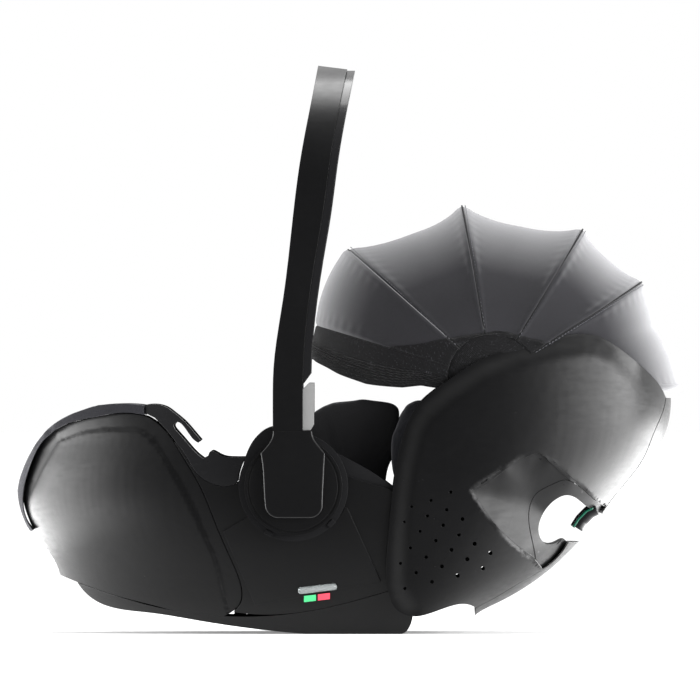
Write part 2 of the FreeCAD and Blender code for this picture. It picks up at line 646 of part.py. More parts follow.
SCOOP = [[(124.6, 150.8), (160, 174), (188.2, 190), (197, 191.5), (209.5, 182.4), (233, 161.2), (262.5, 136)],
         [(262.5, 136), (275, 128)], [(240, 84), (205, 62)],
         [(205, 62), (193.4, 75.2), (179.8, 84.8), (149.8, 112.3), (124.6, 150.8)]]
GUIDE_SEAM = [[(193.4, 77.4), (187.5, 108), (187.2, 133.6), (192, 144.5), (211.6, 157), (224, 161), (236, 156.5),
               (259.4, 137.5)], [(259.4, 137.5), (275, 128)], [(240, 84), (204, 64)]]
VENT_STEP = (16.4, -9.7)
VENT_ROWS = [((104.9, 148.4), 1), ((84.3, 139.8), 3), ((64.2, 133.3), 6), ((56.5, 117.3), 6), ((62.9, 90.4), 4),
             ((52.5, 74.2), 3), ((57.2, 48), 1)]


def head_face():
    return outline(scaled(HEAD_LEFT), scaled(HEAD_REAR), scaled(NOTCH_TOP), scaled(NOTCH_LOW), scaled(HEAD_LOW),
                   scaled(HEAD_KEEL))


def notch_face():
    return outline(scaled(NOTCH_TOP), scaled(NOTCH_LOW), scaled([NOTCH_LOW[-1], (262, 60)]),
                   scaled([(300, 90), NOTCH_TOP[0]]))


def vents():
    holes = []
    for (x, z), count in VENT_ROWS:
        for i in range(count):
            centre = at(x + VENT_STEP[0] * i, z + VENT_STEP[1] * i)
            blend = min(max((centre[0] / KX - 52) / 100 + (150 - centre[1] / KZ) / 200, 0), 1)
            holes.append(disc(centre, VENT_SMALL + (VENT_LARGE - VENT_SMALL) * blend, 0, FAR))
    return Part.makeCompound(holes)


BOSS_PLACES = [(112, 112), (96, 205), (292, 222), (150, 62)]


def build_head_panels():
    face = head_face()
    scoop = outline(*[scaled(r) for r in SCOOP]).common(face)
    seam = outline(*[scaled(r) for r in GUIDE_SEAM])
    outer = skin(head_body, face.cut(scoop), 0, PANEL_WALL, 0.25, FAR)
    band = scoop.cut(grown(outline(*[scaled(r) for r in SCOOP]), -PANEL_WALL)).cut(seam)
    wall = head_body(0).common(slab(band, 0.25, FAR)).cut(head_body(10))
    floor = skin(head_body, scoop.cut(seam), 7, 10, 0.25, FAR)
    panel = joined([outer, wall, floor]).cut(vents())
    for place in BOSS_PLACES:
        post = disc(at(*place), 7, 0, FAR).common(head_body(1)).cut(back_body(0.0))
        panel = panel.fuse(post.common(block(-FAR, FAR, 60, FAR, -FAR, FAR)))
    both("head_panel", panel)


def build_belt_guides():
    """Dished mouths for the vehicle's shoulder belt, with a channel right through between them."""
    seam = outline(*[scaled(r) for r in GUIDE_SEAM]).common(head_face()).Faces[0]
    notch = notch_face()
    ring = grown(notch, CHANNEL_WALL).cut(notch).common(grown(head_face(), -PANEL_GAP))
    front = skin(head_body, grown(seam, -0.4).cut(notch), 6, 9, 40, FAR).cut(slab(ring, 0, 110 * KY))
    tube = head_body(6).common(slab(ring, 110 * KY, FAR))
    pair("belt_guides", front.fuse(tube))
    middle = head_body(6).common(slab(ring, -110 * KY + PANEL_GAP, 110 * KY - PANEL_GAP))
    save("belt_channel", middle)
    hook = outline(scaled([(263, 128.5), (254, 126.5), (244.5, 116), (239, 106.5)]),
                   scaled([(239, 106.5), (235.5, 105), (234, 108)]),
                   scaled([(234, 108), (240, 121), (250, 130.4), (258, 133.5)]))
    hook = hook.cut(grown(notch, CHANNEL_WALL + 0.1).cut(notch))
    hook = slab(hook, 0, FAR).common(head_body(7)).cut(head_body(24))
    hook = hook.common(block(-FAR, FAR, 60, FAR, -FAR, FAR))
    pair("belt_hooks", max(hook.Solids, key=lambda solid: solid.Volume))


def build_back_covers():
    """Spine and keel between the two head panels."""
    rear = scaled(HEAD_REAR)
    top_x, top_z = rear[0]
    low_x, low_z = rear[-1]
    upper = outline([(x + PANEL_GAP, z) for x, z in rear],
                    [(low_x + 60, low_z), (low_x + FAR, low_z)],
                    [(low_x + FAR, top_z - 1.5), (top_x + 1, top_z - 1.5)])
    spine = skin(head_body, upper, 0.5, 0.5 + PANEL_WALL)
    lever_window = polygon(scaled(LEVER_WINDOW))
    spine = spine.cut(slab(lever_window, -32 * KY, 32 * KY))
    save("back_cover_upper", spine)
    low = scaled(HEAD_LOW)
    keel = outline([(p[0] + PANEL_GAP, p[1]) for p in low], [(low[-1][0], low[-1][1]), (low[-1][0], 5)],
                   [(FAR, 5), (FAR, low[0][1])])
    save("back_cover_lower", skin(head_body, keel, 0.5, 0.5 + PANEL_WALL))


LEVER_WINDOW = [(255, 152), (340, 152), (340, 180), (255, 180)]


def build_recline_lever():
    face = polygon(scaled(LEVER_WINDOW)).makeOffset2D(-SLIDE_GAP)
    lever = skin(head_body, face, 1.0, 5.0, -32 * KY + SLIDE_GAP, 32 * KY - SLIDE_GAP)
    save("recline_lever", lever)


BACK_UNDER = -(PAD_THICKNESS + PAD_GAP + STRUCTURE_WALL + 1.0)
BACK_RIM = [(316, 254), (290, 272), (262, 287), (232, 294), (200, 295), (165, 290), (130, 275), (105, 255),
            (86, 232), (70, 200), (62, 170), (56, 140), (52, 100), (54, 66)]


def build_back_shell():
    under = [along(-8 * KX, BACK_UNDER), along(320 * KX, BACK_UNDER)]
    # the front corner stays above the rocker's heel while the backrest swings up
    face = outline([at(54, 51), under[0]], under, [under[1], (under[1][0], at(0, 254)[1])],
                   [(under[1][0], at(0, 254)[1]), at(316, 254)], scaled(BACK_RIM))
    shell = back_body(0).common(slab(face))
    lift = BACK_UNDER + STRUCTURE_WALL
    cavity = back_body(STRUCTURE_WALL).common(slab(polygon(
        [along(-120, lift), along(420, lift), along(420, 500), along(-120, 700)])))
    shell = shell.cut(cavity)
    hip_end = RECLINE[0] + 8
    hip = back_body(STRUCTURE_WALL).common(slab(polygon([(0, 0), (hip_end, 0), (hip_end, FAR), (0, FAR)])))
    shell = shell.cut(hip)
    shell = shell.cut(disc(RECLINE, RECLINE_PIN_RADIUS + PIN_CLEARANCE))
    shell = shell.cut(disc(CANOPY, CANOPY_PIN_RADIUS))
    save("back_shell", shell)

    y_wall = 146.0 * KY
    pin = disc(RECLINE, RECLINE_PIN_RADIUS, y_wall - STRUCTURE_WALL - 2, 161 * KY - PANEL_WALL - 1.5)
    pair("recline_pins", pin)


def build_pads():
    """Cushions: plain closed solids in the size and place of the real ones."""
    pad_gap = SHELL_INSET + STRUCTURE_WALL + PAD_GAP
    rim = [(40, 150), (31, 158), (0, 178), (-30, 192), (-59, 198), (-85, 191), (-105, 172), (-118, 150),
           (-150, 152), (-181, 190), (-200, 208), (-243, 218), (-275, 214), (-303, 200), (-320, 180), (-332, 158)]
    floor = lifted(scaled(TUB_FLOOR), 0, STRUCTURE_WALL + PAD_GAP)
    outer = base_body(pad_gap).common(slab(above(floor))).common(slab(outline(
        scaled([(-332, 158), (-332, 20)]), scaled([(46, 20), (46, 120)]), scaled(rim))))
    inner = base_body(pad_gap + PAD_THICKNESS).common(slab(above(scaled(PAD_TOP))))
    pad = outer.cut(inner)
    # the raised head end swings its side walls past here
    sweep = polygon([(46 * KX, 55 * KZ), (-44 * KX, 220 * KZ), (90 * KX, 260 * KZ)])
    pad = pad.cut(slab(sweep, 124 * KY, FAR)).cut(slab(sweep, -FAR, -124 * KY))
    save("seat_pad", pad)

    ring = outline(scaled(RIM_ROLL), scaled([RIM_ROLL[-1], (-213, 228.5)]),
                   scaled([(x, z + 0.8) for x, z in reversed(FOOT_FRONT[1:])]))
    roll = base_body(-5).common(slab(ring)).cut(base_body(pad_gap + PAD_THICKNESS - 2))
    roll = roll.cut(block(at(-214.6, 0)[0], FAR, -FAR, FAR, 0, FAR))
    save("seat_cover_foot", roll)

    back_gap = STRUCTURE_WALL + PAD_GAP
    top = [(312, 250), (288, 266), (262, 280), (232, 287), (200, 288), (165, 283), (132, 268), (108, 250),
           (62, 246), (44, 222), (37, 196), (38, 172), (60, 120), (78, 95)]
    n = BACK_UNDER + STRUCTURE_WALL + PAD_GAP
    face = outline([along(4, n), along(330, n)], [along(330, n), (along(330, n)[0], at(0, 250)[1])],
                   [(along(330, n)[0], at(0, 250)[1]), at(312, 250)], scaled(top), [at(78, 95), along(4, n)])
    outer = back_body(back_gap).common(slab(face))
    inner = back_body(back_gap + PAD_THICKNESS).common(slab(polygon(
        [along(-150, 0), along(420, 0), along(420, 500), along(-150, 700)])))
    pad = outer.cut(inner)
    save("backrest_pad", pad)


def build_insert():
    """The newborn insert: a thin bottom pad with two tall wings beside the hips."""
    wing = outline(scaled([(-62, 90), (-60, 160), (-52, 215), (-38, 237), (-12, 248), (19, 250), (40, 246),
                           (48, 238)]),
                   scaled([(48, 238), (46, 190), (40, 140), (36, 100)]), scaled([(36, 92), (-62, 90)]))
    right = slab(wing, 100 * KY, 116 * KY)
    bottom = slab(outline(scaled([(-150, 82), (-60, 74), (0, 70), (36, 69)]), scaled([(36, 69), (36, 92)]),
                          scaled([(36, 92), (0, 92), (-60, 94), (-150, 98)])), -116 * KY, 116 * KY)
    recess = polygon(scaled([(-170, 83), (-60, 83), (-60, 120), (-170, 120)]))
    bottom = bottom.cut(slab(recess, -40 * KY, 40 * KY))
    save("newborn_insert", joined([bottom, right, mirrored(right)]))


# ---------------------------------------------------------------- harness and headrest
def strap(points, y, width, thickness):
    """Webbing that follows a side-view line, centred on y."""
    upper = [(x, z + thickness) for x, z in points]
    face = outline(points, list(reversed(upper)))
    return slab(face, y - width / 2, y + width / 2)


def build_buckle():
    x, z = at(-78, 92)
    body = block(-22, 22, -BUCKLE_WIDTH / 2, BUCKLE_WIDTH / 2, 0, 22)
    body = body.makeFillet(4, [e for e in body.Edges if e.Length > 20 and abs(e.BoundBox.ZLength) > 20])
    well = block(-14, 8, -BUCKLE_WIDTH / 2 + 10, BUCKLE_WIDTH / 2 - 10, 22 - BUTTON_TRAVEL - 6, 30)
    button = block(-14 + 0.4, 8 - 0.4, -BUCKLE_WIDTH / 2 + 10.4, BUCKLE_WIDTH / 2 - 10.4, 22 - 5, 22 + 1.0)
    body = body.cut(well)
    slots = [block(10, 30, side * 13 - 9, side * 13 + 9, 6, 10) for side in (-1, 1)]
    tongues = []
    for side in (-1, 1):
        plate = block(10.5, 40, side * 13 - 8.6, side * 13 + 8.6, 6.4, 9.6)
        eye = block(31, 36, side * 13 - 6, side * 13 + 6, 5, 11)
        tongues.append(plate.cut(eye))
    for s in slots:
        body = body.cut(s)
    place = V(x, 0, z + 6 * KZ)
    for shape in [body, button] + tongues:
        shape.translate(place)
    save("buckle_body", body)
    save("buckle_button", button)
    save("buckle_tongues", Part.makeCompound(tongues))
    crotch = block(-8, 8, -WEBBING_WIDTH / 2, WEBBING_WIDTH / 2, -8, 0)
    crotch.translate(place)
    save("crotch_strap", crotch)


def harness_line():
    x, z = at(-78, 92)
    start = (x + 42, z + 6 * KZ + 7)
    rest = [at(-15, 112), at(30, 112), along(20, 32), along(60, 22), along(98, 20), along(114, 15.5),
            along(122, 9.5)]
    return [start] + rest


def build_harness():
    right = strap(harness_line(), 0, WEBBING_WIDTH, WEBBING_THICKNESS)
    straps = []
    pads = []
    pad_line = [along(50, 27.5), along(64, 24.8), along(80, 24), along(94, 23.6), along(106, 23.2)]
    for side in (-1, 1):
        y = side * 30 * KY
        belt = right.copy()
        belt.translate(V(0, y, 0))
        straps.append(belt)
        pads.append(strap(pad_line, y, WEBBING_WIDTH + 26, 9))
    save("harness_straps", Part.makeCompound(straps))
    save("shoulder_pads", Part.makeCompound(pads))


def build_headrest():
    """A U-shaped shell with its own cushion that slides up the backrest."""
    def local(points):
        return [along(s * KX, n) for s, n in points]
    half = HEADREST_HALF * KY
    top = 3 + HEADREST_WALL
    back = slab(polygon(local([(118, 3), (202, 3), (202, top), (118, top)])), -half, half)
    wing = slab(outline(local([(130, 3), (202, 3)]), local([(202, 3), (202, 58)]),
                        local([(202, 58), (192, 80), (165, 84), (138, 70), (130, 48)]),
                        local([(130, 48), (130, 3)])),
                half - HEADREST_WALL, half)
    slots = [slab(polygon(local([(119.5, 0), (127, 0), (127, 12), (119.5, 12)])),
                  side * 30 * KY - WEBBING_WIDTH / 2 - 2, side * 30 * KY + WEBBING_WIDTH / 2 + 2)
             for side in (-1, 1)]
    save("headrest_shell", joined([back, wing, mirrored(wing)]).cut(joined(slots)))
    low = top + 0.5
    edge = half - HEADREST_WALL - 0.5
    cushion = slab(polygon(local([(131, low), (199, low), (199, low + 18), (131, low + 18)])), -edge, edge)
    side_pad = slab(outline(local([(131, low + 18), (199, low + 18)]), local([(199, low + 18), (199, 58)]),
                            local([(199, 58), (189, 76), (165, 80), (141, 67), (133, 48)]),
                            local([(133, 48), (131, low + 18)])),
                    edge - HEADREST_PAD, edge)
    save("headrest_pad", joined([cushion, side_pad, mirrored(side_pad)]))
    lever = slab(polygon(local([(203, 4), (213, 4), (213, 9), (203, 9)])), -20, 20)
    save("headrest_lever", lever)


def build_adjuster():
    """Harness tightener in the front of the seat cushion."""
    x, z = at(-236, 99)
    body = block(-20, 20, -24, 24, 0, 12)
    well = block(-14, 6, -15, 15, 12 - BUTTON_TRAVEL - 4, 20)
    button = block(-14 + 0.4, 6 - 0.4, -14.6, 14.6, 12 - 3, 13)
    tail = strap([(-22, 5), (-34, 10), (-44, 20), (-52, 33)], 0, WEBBING_WIDTH - 6, WEBBING_THICKNESS)
    for shape in (body, well, button, tail):
        shape.rotate(V(0, 0, 0), V(0, 1, 0), 14)
        shape.translate(V(x, 0, z + 4))
    save("adjuster_housing", body.cut(well))
    save("adjuster_button", button)
    save("adjuster_strap", tail)


# ---------------------------------------------------------------- canopy
CANOPY_VISOR = [(138.2, 203.0), (150, 200.0), (163, 191.0)]
CANOPY_BAND = [(163.4, 190.6), (173, 189.5), (190, 190)]
CANOPY_FRONT_GORE = [(137.2, 203.0), (116.5, 175.0), (100.2, 184.0)]
CANOPY_MIDDLE_GORE = [(99.4, 184.0), (79, 164.0), (59.1, 184.0)]
CANOPY_REAR_GORE = [(58.3, 184.0), (47.0, 175.0), (33.3, 186.0)]
CANOPY_REAR = [(32.5, 186.0), (22.7, 179.0), (8.4, 183.0), (-0.7, 197.0), (-3.9, 199.0)]
HEM_LINE = [(-60, 292), (-38.5, 287), (-12.5, 272.5), (16.6, 262), (54, 257.9), (110, 257)]
GUSSET_RADIUS = 50.0
GORE_START = 54.0
Y_CLOTH = 172.5


def sector_points(reach, half, start, power, degrees, steps=10):
    """Half an arch from the side to the crown, then mirrored; it stands in a plane through the axis."""
    side = []
    for i in range(steps + 1):
        r = start + (reach - start) * math.sin(math.pi / 2 * i / steps)
        y = half * max(1 - (r / reach) ** power, 0.0) ** (1 / power)
        side.append((r, y))
    arch_places = [(r, y) for r, y in side] + [(r, -y) for r, y in reversed(side[:-1])]
    a = math.radians(degrees)
    return [V(CANOPY[0] + r * math.cos(a), y, CANOPY[1] + r * math.sin(a)) for r, y in arch_places]


def fabric_section(degrees, reach, power):
    start = GORE_START * KX
    outer = sector_points(reach * KX, Y_CLOTH * KY, start, power, degrees)
    inner = list(reversed(sector_points(reach * KX - CLOTH, Y_CLOTH * KY - CLOTH, start, power, degrees)))
    edges = []
    for points, after in ((outer, inner), (inner, outer)):
        curve = Part.BSplineCurve()
        curve.interpolate(points)
        edges += [curve.toShape(), Part.LineSegment(points[-1], after[0]).toShape()]
    return Part.Wire(edges)


def gore(sections, power=2.1):
    return Part.makeLoft([fabric_section(a, r, power) for a, r in sections], True, False)


def canopy_rib(degrees, reach, level, power=2.1):
    """A flat rib with an eyelet at each end; level counts inwards, so that folded ribs nest."""
    inward = level * (RIB_THICKNESS + RIB_SPACING)
    half = Y_CLOTH * KY - CLOTH - 0.5 - inward
    start = 6.0
    r = reach * KX - CLOTH - 2.5 - inward
    outer = sector_points(r, half, start, power, degrees)
    inner = list(reversed(sector_points(r - RIB_THICKNESS, half - RIB_THICKNESS, start, power, degrees)))
    edges = []
    for points, after in ((outer, inner), (inner, outer)):
        curve = Part.BSplineCurve()
        curve.interpolate(points)
        edges += [curve.toShape(), Part.LineSegment(points[-1], after[0]).toShape()]
    a = math.radians(degrees)
    normal = V(-math.sin(a), 0, math.cos(a))
    strip = Part.Face(Part.Wire(edges))
    strip.translate(normal * (-RIB_WIDTH / 2))
    rib = strip.extrude(normal * RIB_WIDTH)
    eye_half = half - 0.05
    for side in (-1, 1):
        y0, y1 = sorted((side * (eye_half - RIB_THICKNESS + 0.1), side * eye_half))
        rib = rib.fuse(disc(CANOPY, 9, y0, y1))
    return rib.cut(disc(CANOPY, CANOPY_PIN_RADIUS + PIN_CLEARANCE))


def build_canopy():
    save("canopy_visor", gore(CANOPY_VISOR))
    hem = slab(above(scaled(HEM_LINE)))
    save("canopy_front_band", gore(CANOPY_BAND).common(hem))
    save("canopy_gore_front", gore(CANOPY_FRONT_GORE))
    save("canopy_gore_middle", gore(CANOPY_MIDDLE_GORE))
    save("canopy_gore_rear", gore(CANOPY_REAR_GORE))
    save("canopy_rear_fabric", gore(CANOPY_REAR, 2.0))
    save("canopy_front_rib", canopy_rib(137.7, 200, 0))
    save("canopy_fixed_rib", canopy_rib(32.9, 188, 1))
    save("canopy_rear_rib", canopy_rib(58.7, 188, 2))
    save("canopy_middle_rib", canopy_rib(99.8, 188, 3))
    y = Y_CLOTH * KY
    gusset = disc(CANOPY, GUSSET_RADIUS * KX, y - CLOTH + 0.2, y).cut(head_body(-PANEL_GAP))
    pair("canopy_gussets", max(gusset.Solids, key=lambda solid: solid.Volume))
    pair("canopy_pins", disc(CANOPY, CANOPY_PIN_RADIUS, 149 * KY, y - CLOTH - 0.3))


# ---------------------------------------------------------------- run
build_rocker()
build_release_handle()
build_foot_panels()
build_tub()
build_pods()
build_guides()
build_hub_seats()
build_hub_discs()
build_hub_covers()
build_handle()
build_head_panels()
build_belt_guides()
build_back_covers()
build_recline_lever()
build_back_shell()
build_pads()
build_insert()
build_buckle()
build_harness()
build_headrest()
build_adjuster()
build_canopy()
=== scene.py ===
import json
import math

import bmesh
import bpy
import numpy as np
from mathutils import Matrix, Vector


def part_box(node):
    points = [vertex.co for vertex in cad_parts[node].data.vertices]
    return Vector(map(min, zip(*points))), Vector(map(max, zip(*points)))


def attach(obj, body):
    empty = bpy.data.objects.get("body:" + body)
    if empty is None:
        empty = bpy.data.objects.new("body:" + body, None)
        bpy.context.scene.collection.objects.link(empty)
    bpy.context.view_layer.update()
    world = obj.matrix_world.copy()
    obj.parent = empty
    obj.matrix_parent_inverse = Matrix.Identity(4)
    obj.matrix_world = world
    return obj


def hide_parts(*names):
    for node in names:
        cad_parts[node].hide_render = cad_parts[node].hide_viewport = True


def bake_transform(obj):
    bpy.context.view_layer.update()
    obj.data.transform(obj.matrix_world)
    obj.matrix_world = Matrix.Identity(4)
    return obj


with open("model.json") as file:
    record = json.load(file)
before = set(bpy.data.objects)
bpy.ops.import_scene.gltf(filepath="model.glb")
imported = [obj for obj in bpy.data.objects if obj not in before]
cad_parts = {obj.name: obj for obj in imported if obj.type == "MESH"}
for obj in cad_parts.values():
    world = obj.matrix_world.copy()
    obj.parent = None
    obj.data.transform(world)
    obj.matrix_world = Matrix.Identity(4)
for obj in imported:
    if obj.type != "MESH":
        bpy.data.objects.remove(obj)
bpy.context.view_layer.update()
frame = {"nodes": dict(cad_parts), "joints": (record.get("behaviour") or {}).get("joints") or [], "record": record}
nodes = frame["nodes"]
record = frame["record"]
slot_of = {part["node"]: part["material_slot"] for part in record["subparts"]}
joint_at = {j["name"]: Vector(j["pos_m"]) for j in frame["joints"] if "pos_m" in j}
PIVOT = joint_at["canopy_fold"]
HUB = joint_at["handle_pivot"]
MM = 0.001


# ---------------------------------------------------------------- materials
class Finish:
    """One procedural material, built node by node."""

    def __init__(self, name):
        self.material = bpy.data.materials.new(name)
        self.material.use_nodes = True
        self.tree = self.material.node_tree
        self.shader = self.tree.nodes["Principled BSDF"]
        self.place = self.add("ShaderNodeTexCoord").outputs["Object"]

    def add(self, kind, **settings):
        node = self.tree.nodes.new(kind)
        for key, value in settings.items():
            setattr(node, key, value)
        return node

    def link(self, source, target):
        self.tree.links.new(source, target)

    def put(self, node, name, value):
        if isinstance(value, bpy.types.NodeSocket):
            self.link(value, node.inputs[name])
        else:
            node.inputs[name].default_value = value

    def set(self, **values):
        for key, value in values.items():
            self.put(self.shader, key.replace("_", " "), value)

    def uv(self):
        return self.add("ShaderNodeTexCoord").outputs["UV"]

    def noise(self, scale, detail=3.0, where=None, stretch=None):
        node = self.add("ShaderNodeTexNoise")
        where = where or self.place
        if stretch:
            mapping = self.add("ShaderNodeMapping")
            mapping.inputs["Scale"].default_value = stretch
            self.link(where, mapping.inputs["Vector"])
            where = mapping.outputs["Vector"]
        self.link(where, node.inputs["Vector"])
        node.inputs["Scale"].default_value = scale
        node.inputs["Detail"].default_value = detail
        return node.outputs["Fac"]

    def wave(self, scale, direction, where=None, distortion=0.0):
        node = self.add("ShaderNodeTexWave", wave_type="BANDS", bands_direction=direction, wave_profile="SIN")
        self.link(where or self.place, node.inputs["Vector"])
        node.inputs["Scale"].default_value = scale
        node.inputs["Distortion"].default_value = distortion
        return node.outputs["Fac"]

    def math(self, operation, a, b=0.0):
        node = self.add("ShaderNodeMath", operation=operation)
        for i, value in enumerate((a, b)):
            if isinstance(value, bpy.types.NodeSocket):
                self.link(value, node.inputs[i])
            else:
                node.inputs[i].default_value = value
        return node.outputs[0]

    def spread(self, value, low, high, start=0.0, end=1.0):
        """A value mapped from start..end to low..high."""
        node = self.add("ShaderNodeMapRange")
        self.link(value, node.inputs["Value"])
        for key, number in (("From Min", start), ("From Max", end), ("To Min", low), ("To Max", high)):
            node.inputs[key].default_value = number
        return node.outputs["Result"]

    def mix(self, factor, a, b):
        node = self.add("ShaderNodeMix", data_type="RGBA")
        sockets = [s for s in node.inputs if s.enabled]
        for socket, value in zip(sockets, (factor, a, b)):
            if isinstance(value, bpy.types.NodeSocket):
                self.link(value, socket)
            else:
                socket.default_value = value
        return [s for s in node.outputs if s.enabled][0]

    def bump(self, height, distance, strength=1.0, after=None):
        node = self.add("ShaderNodeBump")
        node.inputs["Strength"].default_value = strength
        node.inputs["Distance"].default_value = distance
        self.link(height, node.inputs["Height"])
        if after is not None:
            self.link(after, node.inputs["Normal"])
        return node.outputs["Normal"]


def rgba(colour, gain=1.0):
    return (colour[0] * gain, colour[1] * gain, colour[2] * gain, 1.0)


def plastic(name, colour, rough, grain=0.5, grain_size=2600.0, edge=0.9, specular=0.4, coat=0.0, wear=1.6):
    """Moulded plastic: eroded grain, rounded edges, uneven gloss, faint scuffs and rubbed corners."""
    f = Finish(name)
    rounded = f.add("ShaderNodeBevel", samples=4)
    rounded.inputs["Radius"].default_value = edge * MM
    flat = f.add("ShaderNodeNewGeometry").outputs["Normal"]
    dot = f.add("ShaderNodeVectorMath", operation="DOT_PRODUCT")
    f.link(rounded.outputs["Normal"], dot.inputs[0])
    f.link(flat, dot.inputs[1])
    rubbed = f.spread(dot.outputs["Value"], 1.0, 0.0, 0.72, 0.985)
    scuffs = f.noise(70.0, 8.0, stretch=(1.0, 1.0, 3.5))
    patches = f.noise(9.0, 4.0)
    grains = f.noise(grain_size, 2.0)
    tone = f.mix(patches, rgba(colour, 0.86), rgba(colour, 1.16))
    rubbed_here = f.math("MULTIPLY", rubbed, f.spread(f.noise(40.0, 4.0), 0.25, 1.0, 0.35, 0.7))
    tone = f.mix(rubbed_here, tone, rgba([c * wear + 0.012 for c in colour]))
    gloss = f.spread(patches, rough * 0.88, rough * 1.14, 0.3, 0.7)
    gloss = f.math("ADD", gloss, f.spread(scuffs, -0.03, 0.07, 0.4, 0.75))
    normal = f.bump(grains, 0.00012 * grain, 0.5, rounded.outputs["Normal"])
    normal = f.bump(f.noise(240.0, 3.0), 0.0001, 0.12, normal)
    turn = f.add("ShaderNodeLayerWeight").outputs["Facing"]
    shine = f.spread(turn, specular * 0.16, specular * 2.2, 0.01, 0.5)
    f.set(Base_Color=tone, Roughness=gloss, Specular_IOR_Level=shine, Coat_Weight=coat, Coat_Roughness=0.12,
          Normal=normal)
    return f.material


def woven(name, light, dark, pitch, rough=0.85, sheen=0.3, sheen_tint=(0.8, 0.8, 0.85), relief=0.25, flat=False,
          melange=0.35, top=0.0):
    """Plain-woven cloth: crossing threads, mixed-tone yarn, a soft sheen and slight unevenness.
    pitch is the thread spacing in millimetres; flat cloth has its threads along its own length and width."""
    f = Finish(name)
    where = f.uv() if flat else f.place
    scale = 2 * math.pi / (20.0 * pitch * MM)
    bands = [f.wave(scale, axis, where, 0.4) for axis in ("XY" if flat else "XYZ")]
    threads = f.math("MULTIPLY", bands[0], bands[1])
    for other in bands[2:]:
        threads = f.math("MAXIMUM", threads, f.math("MULTIPLY", bands[0], other))
        threads = f.math("MAXIMUM", threads, f.math("MULTIPLY", bands[1], other))
    yarn = f.noise(1.0 / (pitch * MM) * 0.7, 2.0, where, (1.0, 0.3, 1.0) if flat else None)
    worn = f.noise(14.0, 5.0)
    tone = f.mix(f.spread(yarn, 0.0, melange, 0.35, 0.68), rgba(dark), rgba(light))
    tone = f.mix(f.spread(threads, 0.55, 0.0, 0.1, 0.8), tone, rgba(dark, 0.5))
    tone = f.mix(f.spread(worn, 0.0, 0.25, 0.4, 0.75), tone, rgba(light, 1.05))
    # top mixes a light grey into the colour towards the cloth's outline: a painted rim highlight standing in for
    # light, not the cloth's own colour.
    if top:
        turn = f.add("ShaderNodeLayerWeight").outputs["Facing"]
        painted_rim_light = f.math("POWER", f.spread(turn, 0.0, 1.0, 0.27, 0.95), 1.3)
        tone = f.mix(painted_rim_light, tone, (top, top, top * 1.02, 1.0))
    normal = f.bump(threads, pitch * MM * relief, 0.7)
    normal = f.bump(f.noise(90.0, 4.0), 0.0006, 0.18, normal)
    f.set(Base_Color=tone, Roughness=rough, Specular_IOR_Level=0.18, Sheen_Weight=sheen, Sheen_Roughness=0.45,
          Sheen_Tint=rgba(sheen_tint), Normal=normal)
    return f.material


def knitted(name, light, dark, pitch=1.5):
    """Elastic knit: columns of small loops with light flecks."""
    f = Finish(name)
    where = f.uv()
    scale = 2 * math.pi / (20.0 * pitch * MM)
    columns = f.wave(scale, "X", where, 0.8)
    rows = f.wave(scale * 1.4, "Y", where, 1.2)
    loops = f.math("MULTIPLY", columns, rows)
    flecks = f.add("ShaderNodeTexVoronoi")
    f.link(where, flecks.inputs["Vector"])
    flecks.inputs["Scale"].default_value = 650.0
    fleck = f.spread(flecks.outputs["Distance"], 1.0, 0.0, 0.05, 0.42)
    fleck = f.math("MULTIPLY", fleck, f.spread(f.noise(420.0, 2.0, where), 0.0, 1.0, 0.52, 0.62))
    tone = f.mix(f.spread(loops, 0.0, 0.5, 0.1, 0.9), rgba(dark), rgba(light))
    tone = f.mix(fleck, tone, rgba(light, 5.0))
    normal = f.bump(loops, pitch * MM * 0.35, 0.8)
    normal = f.bump(f.noise(60.0, 3.0, where), 0.0008, 0.2, normal)
    f.set(Base_Color=tone, Roughness=0.92, Specular_IOR_Level=0.1, Sheen_Weight=0.06, Sheen_Roughness=0.5,
          Normal=normal)
    return f.material


def metal(name):
    f = Finish(name)
    brushed = f.noise(900.0, 4.0, stretch=(1.0, 0.05, 1.0))
    marks = f.noise(60.0, 6.0)
    f.set(Base_Color=f.mix(marks, (0.42, 0.43, 0.45, 1), (0.62, 0.63, 0.65, 1)), Metallic=1.0,
          Roughness=f.spread(brushed, 0.22, 0.42), Normal=f.bump(brushed, 0.00005, 0.4))
    return f.material


def clear(name):
    f = Finish(name)
    film = f.noise(220.0, 3.0)
    f.set(Base_Color=(0.62, 0.66, 0.66, 1), Roughness=f.spread(film, 0.04, 0.14), Transmission_Weight=0.75, IOR=1.45,
          Normal=f.bump(film, 0.00004, 0.15))
    return f.material


def printed(name, colour):
    """A moulded-in colour patch: even colour, fine speckle and soft gloss."""
    f = Finish(name)
    speck = f.noise(1800.0, 2.0)
    worn = f.noise(160.0, 6.0)
    tone = f.mix(f.spread(worn, 0.0, 0.4, 0.45, 0.75), rgba(colour), rgba(colour, 0.72))
    f.set(Base_Color=tone, Roughness=f.spread(speck, 0.38, 0.52), Normal=f.bump(speck, 0.00006, 0.3))
    return f.material


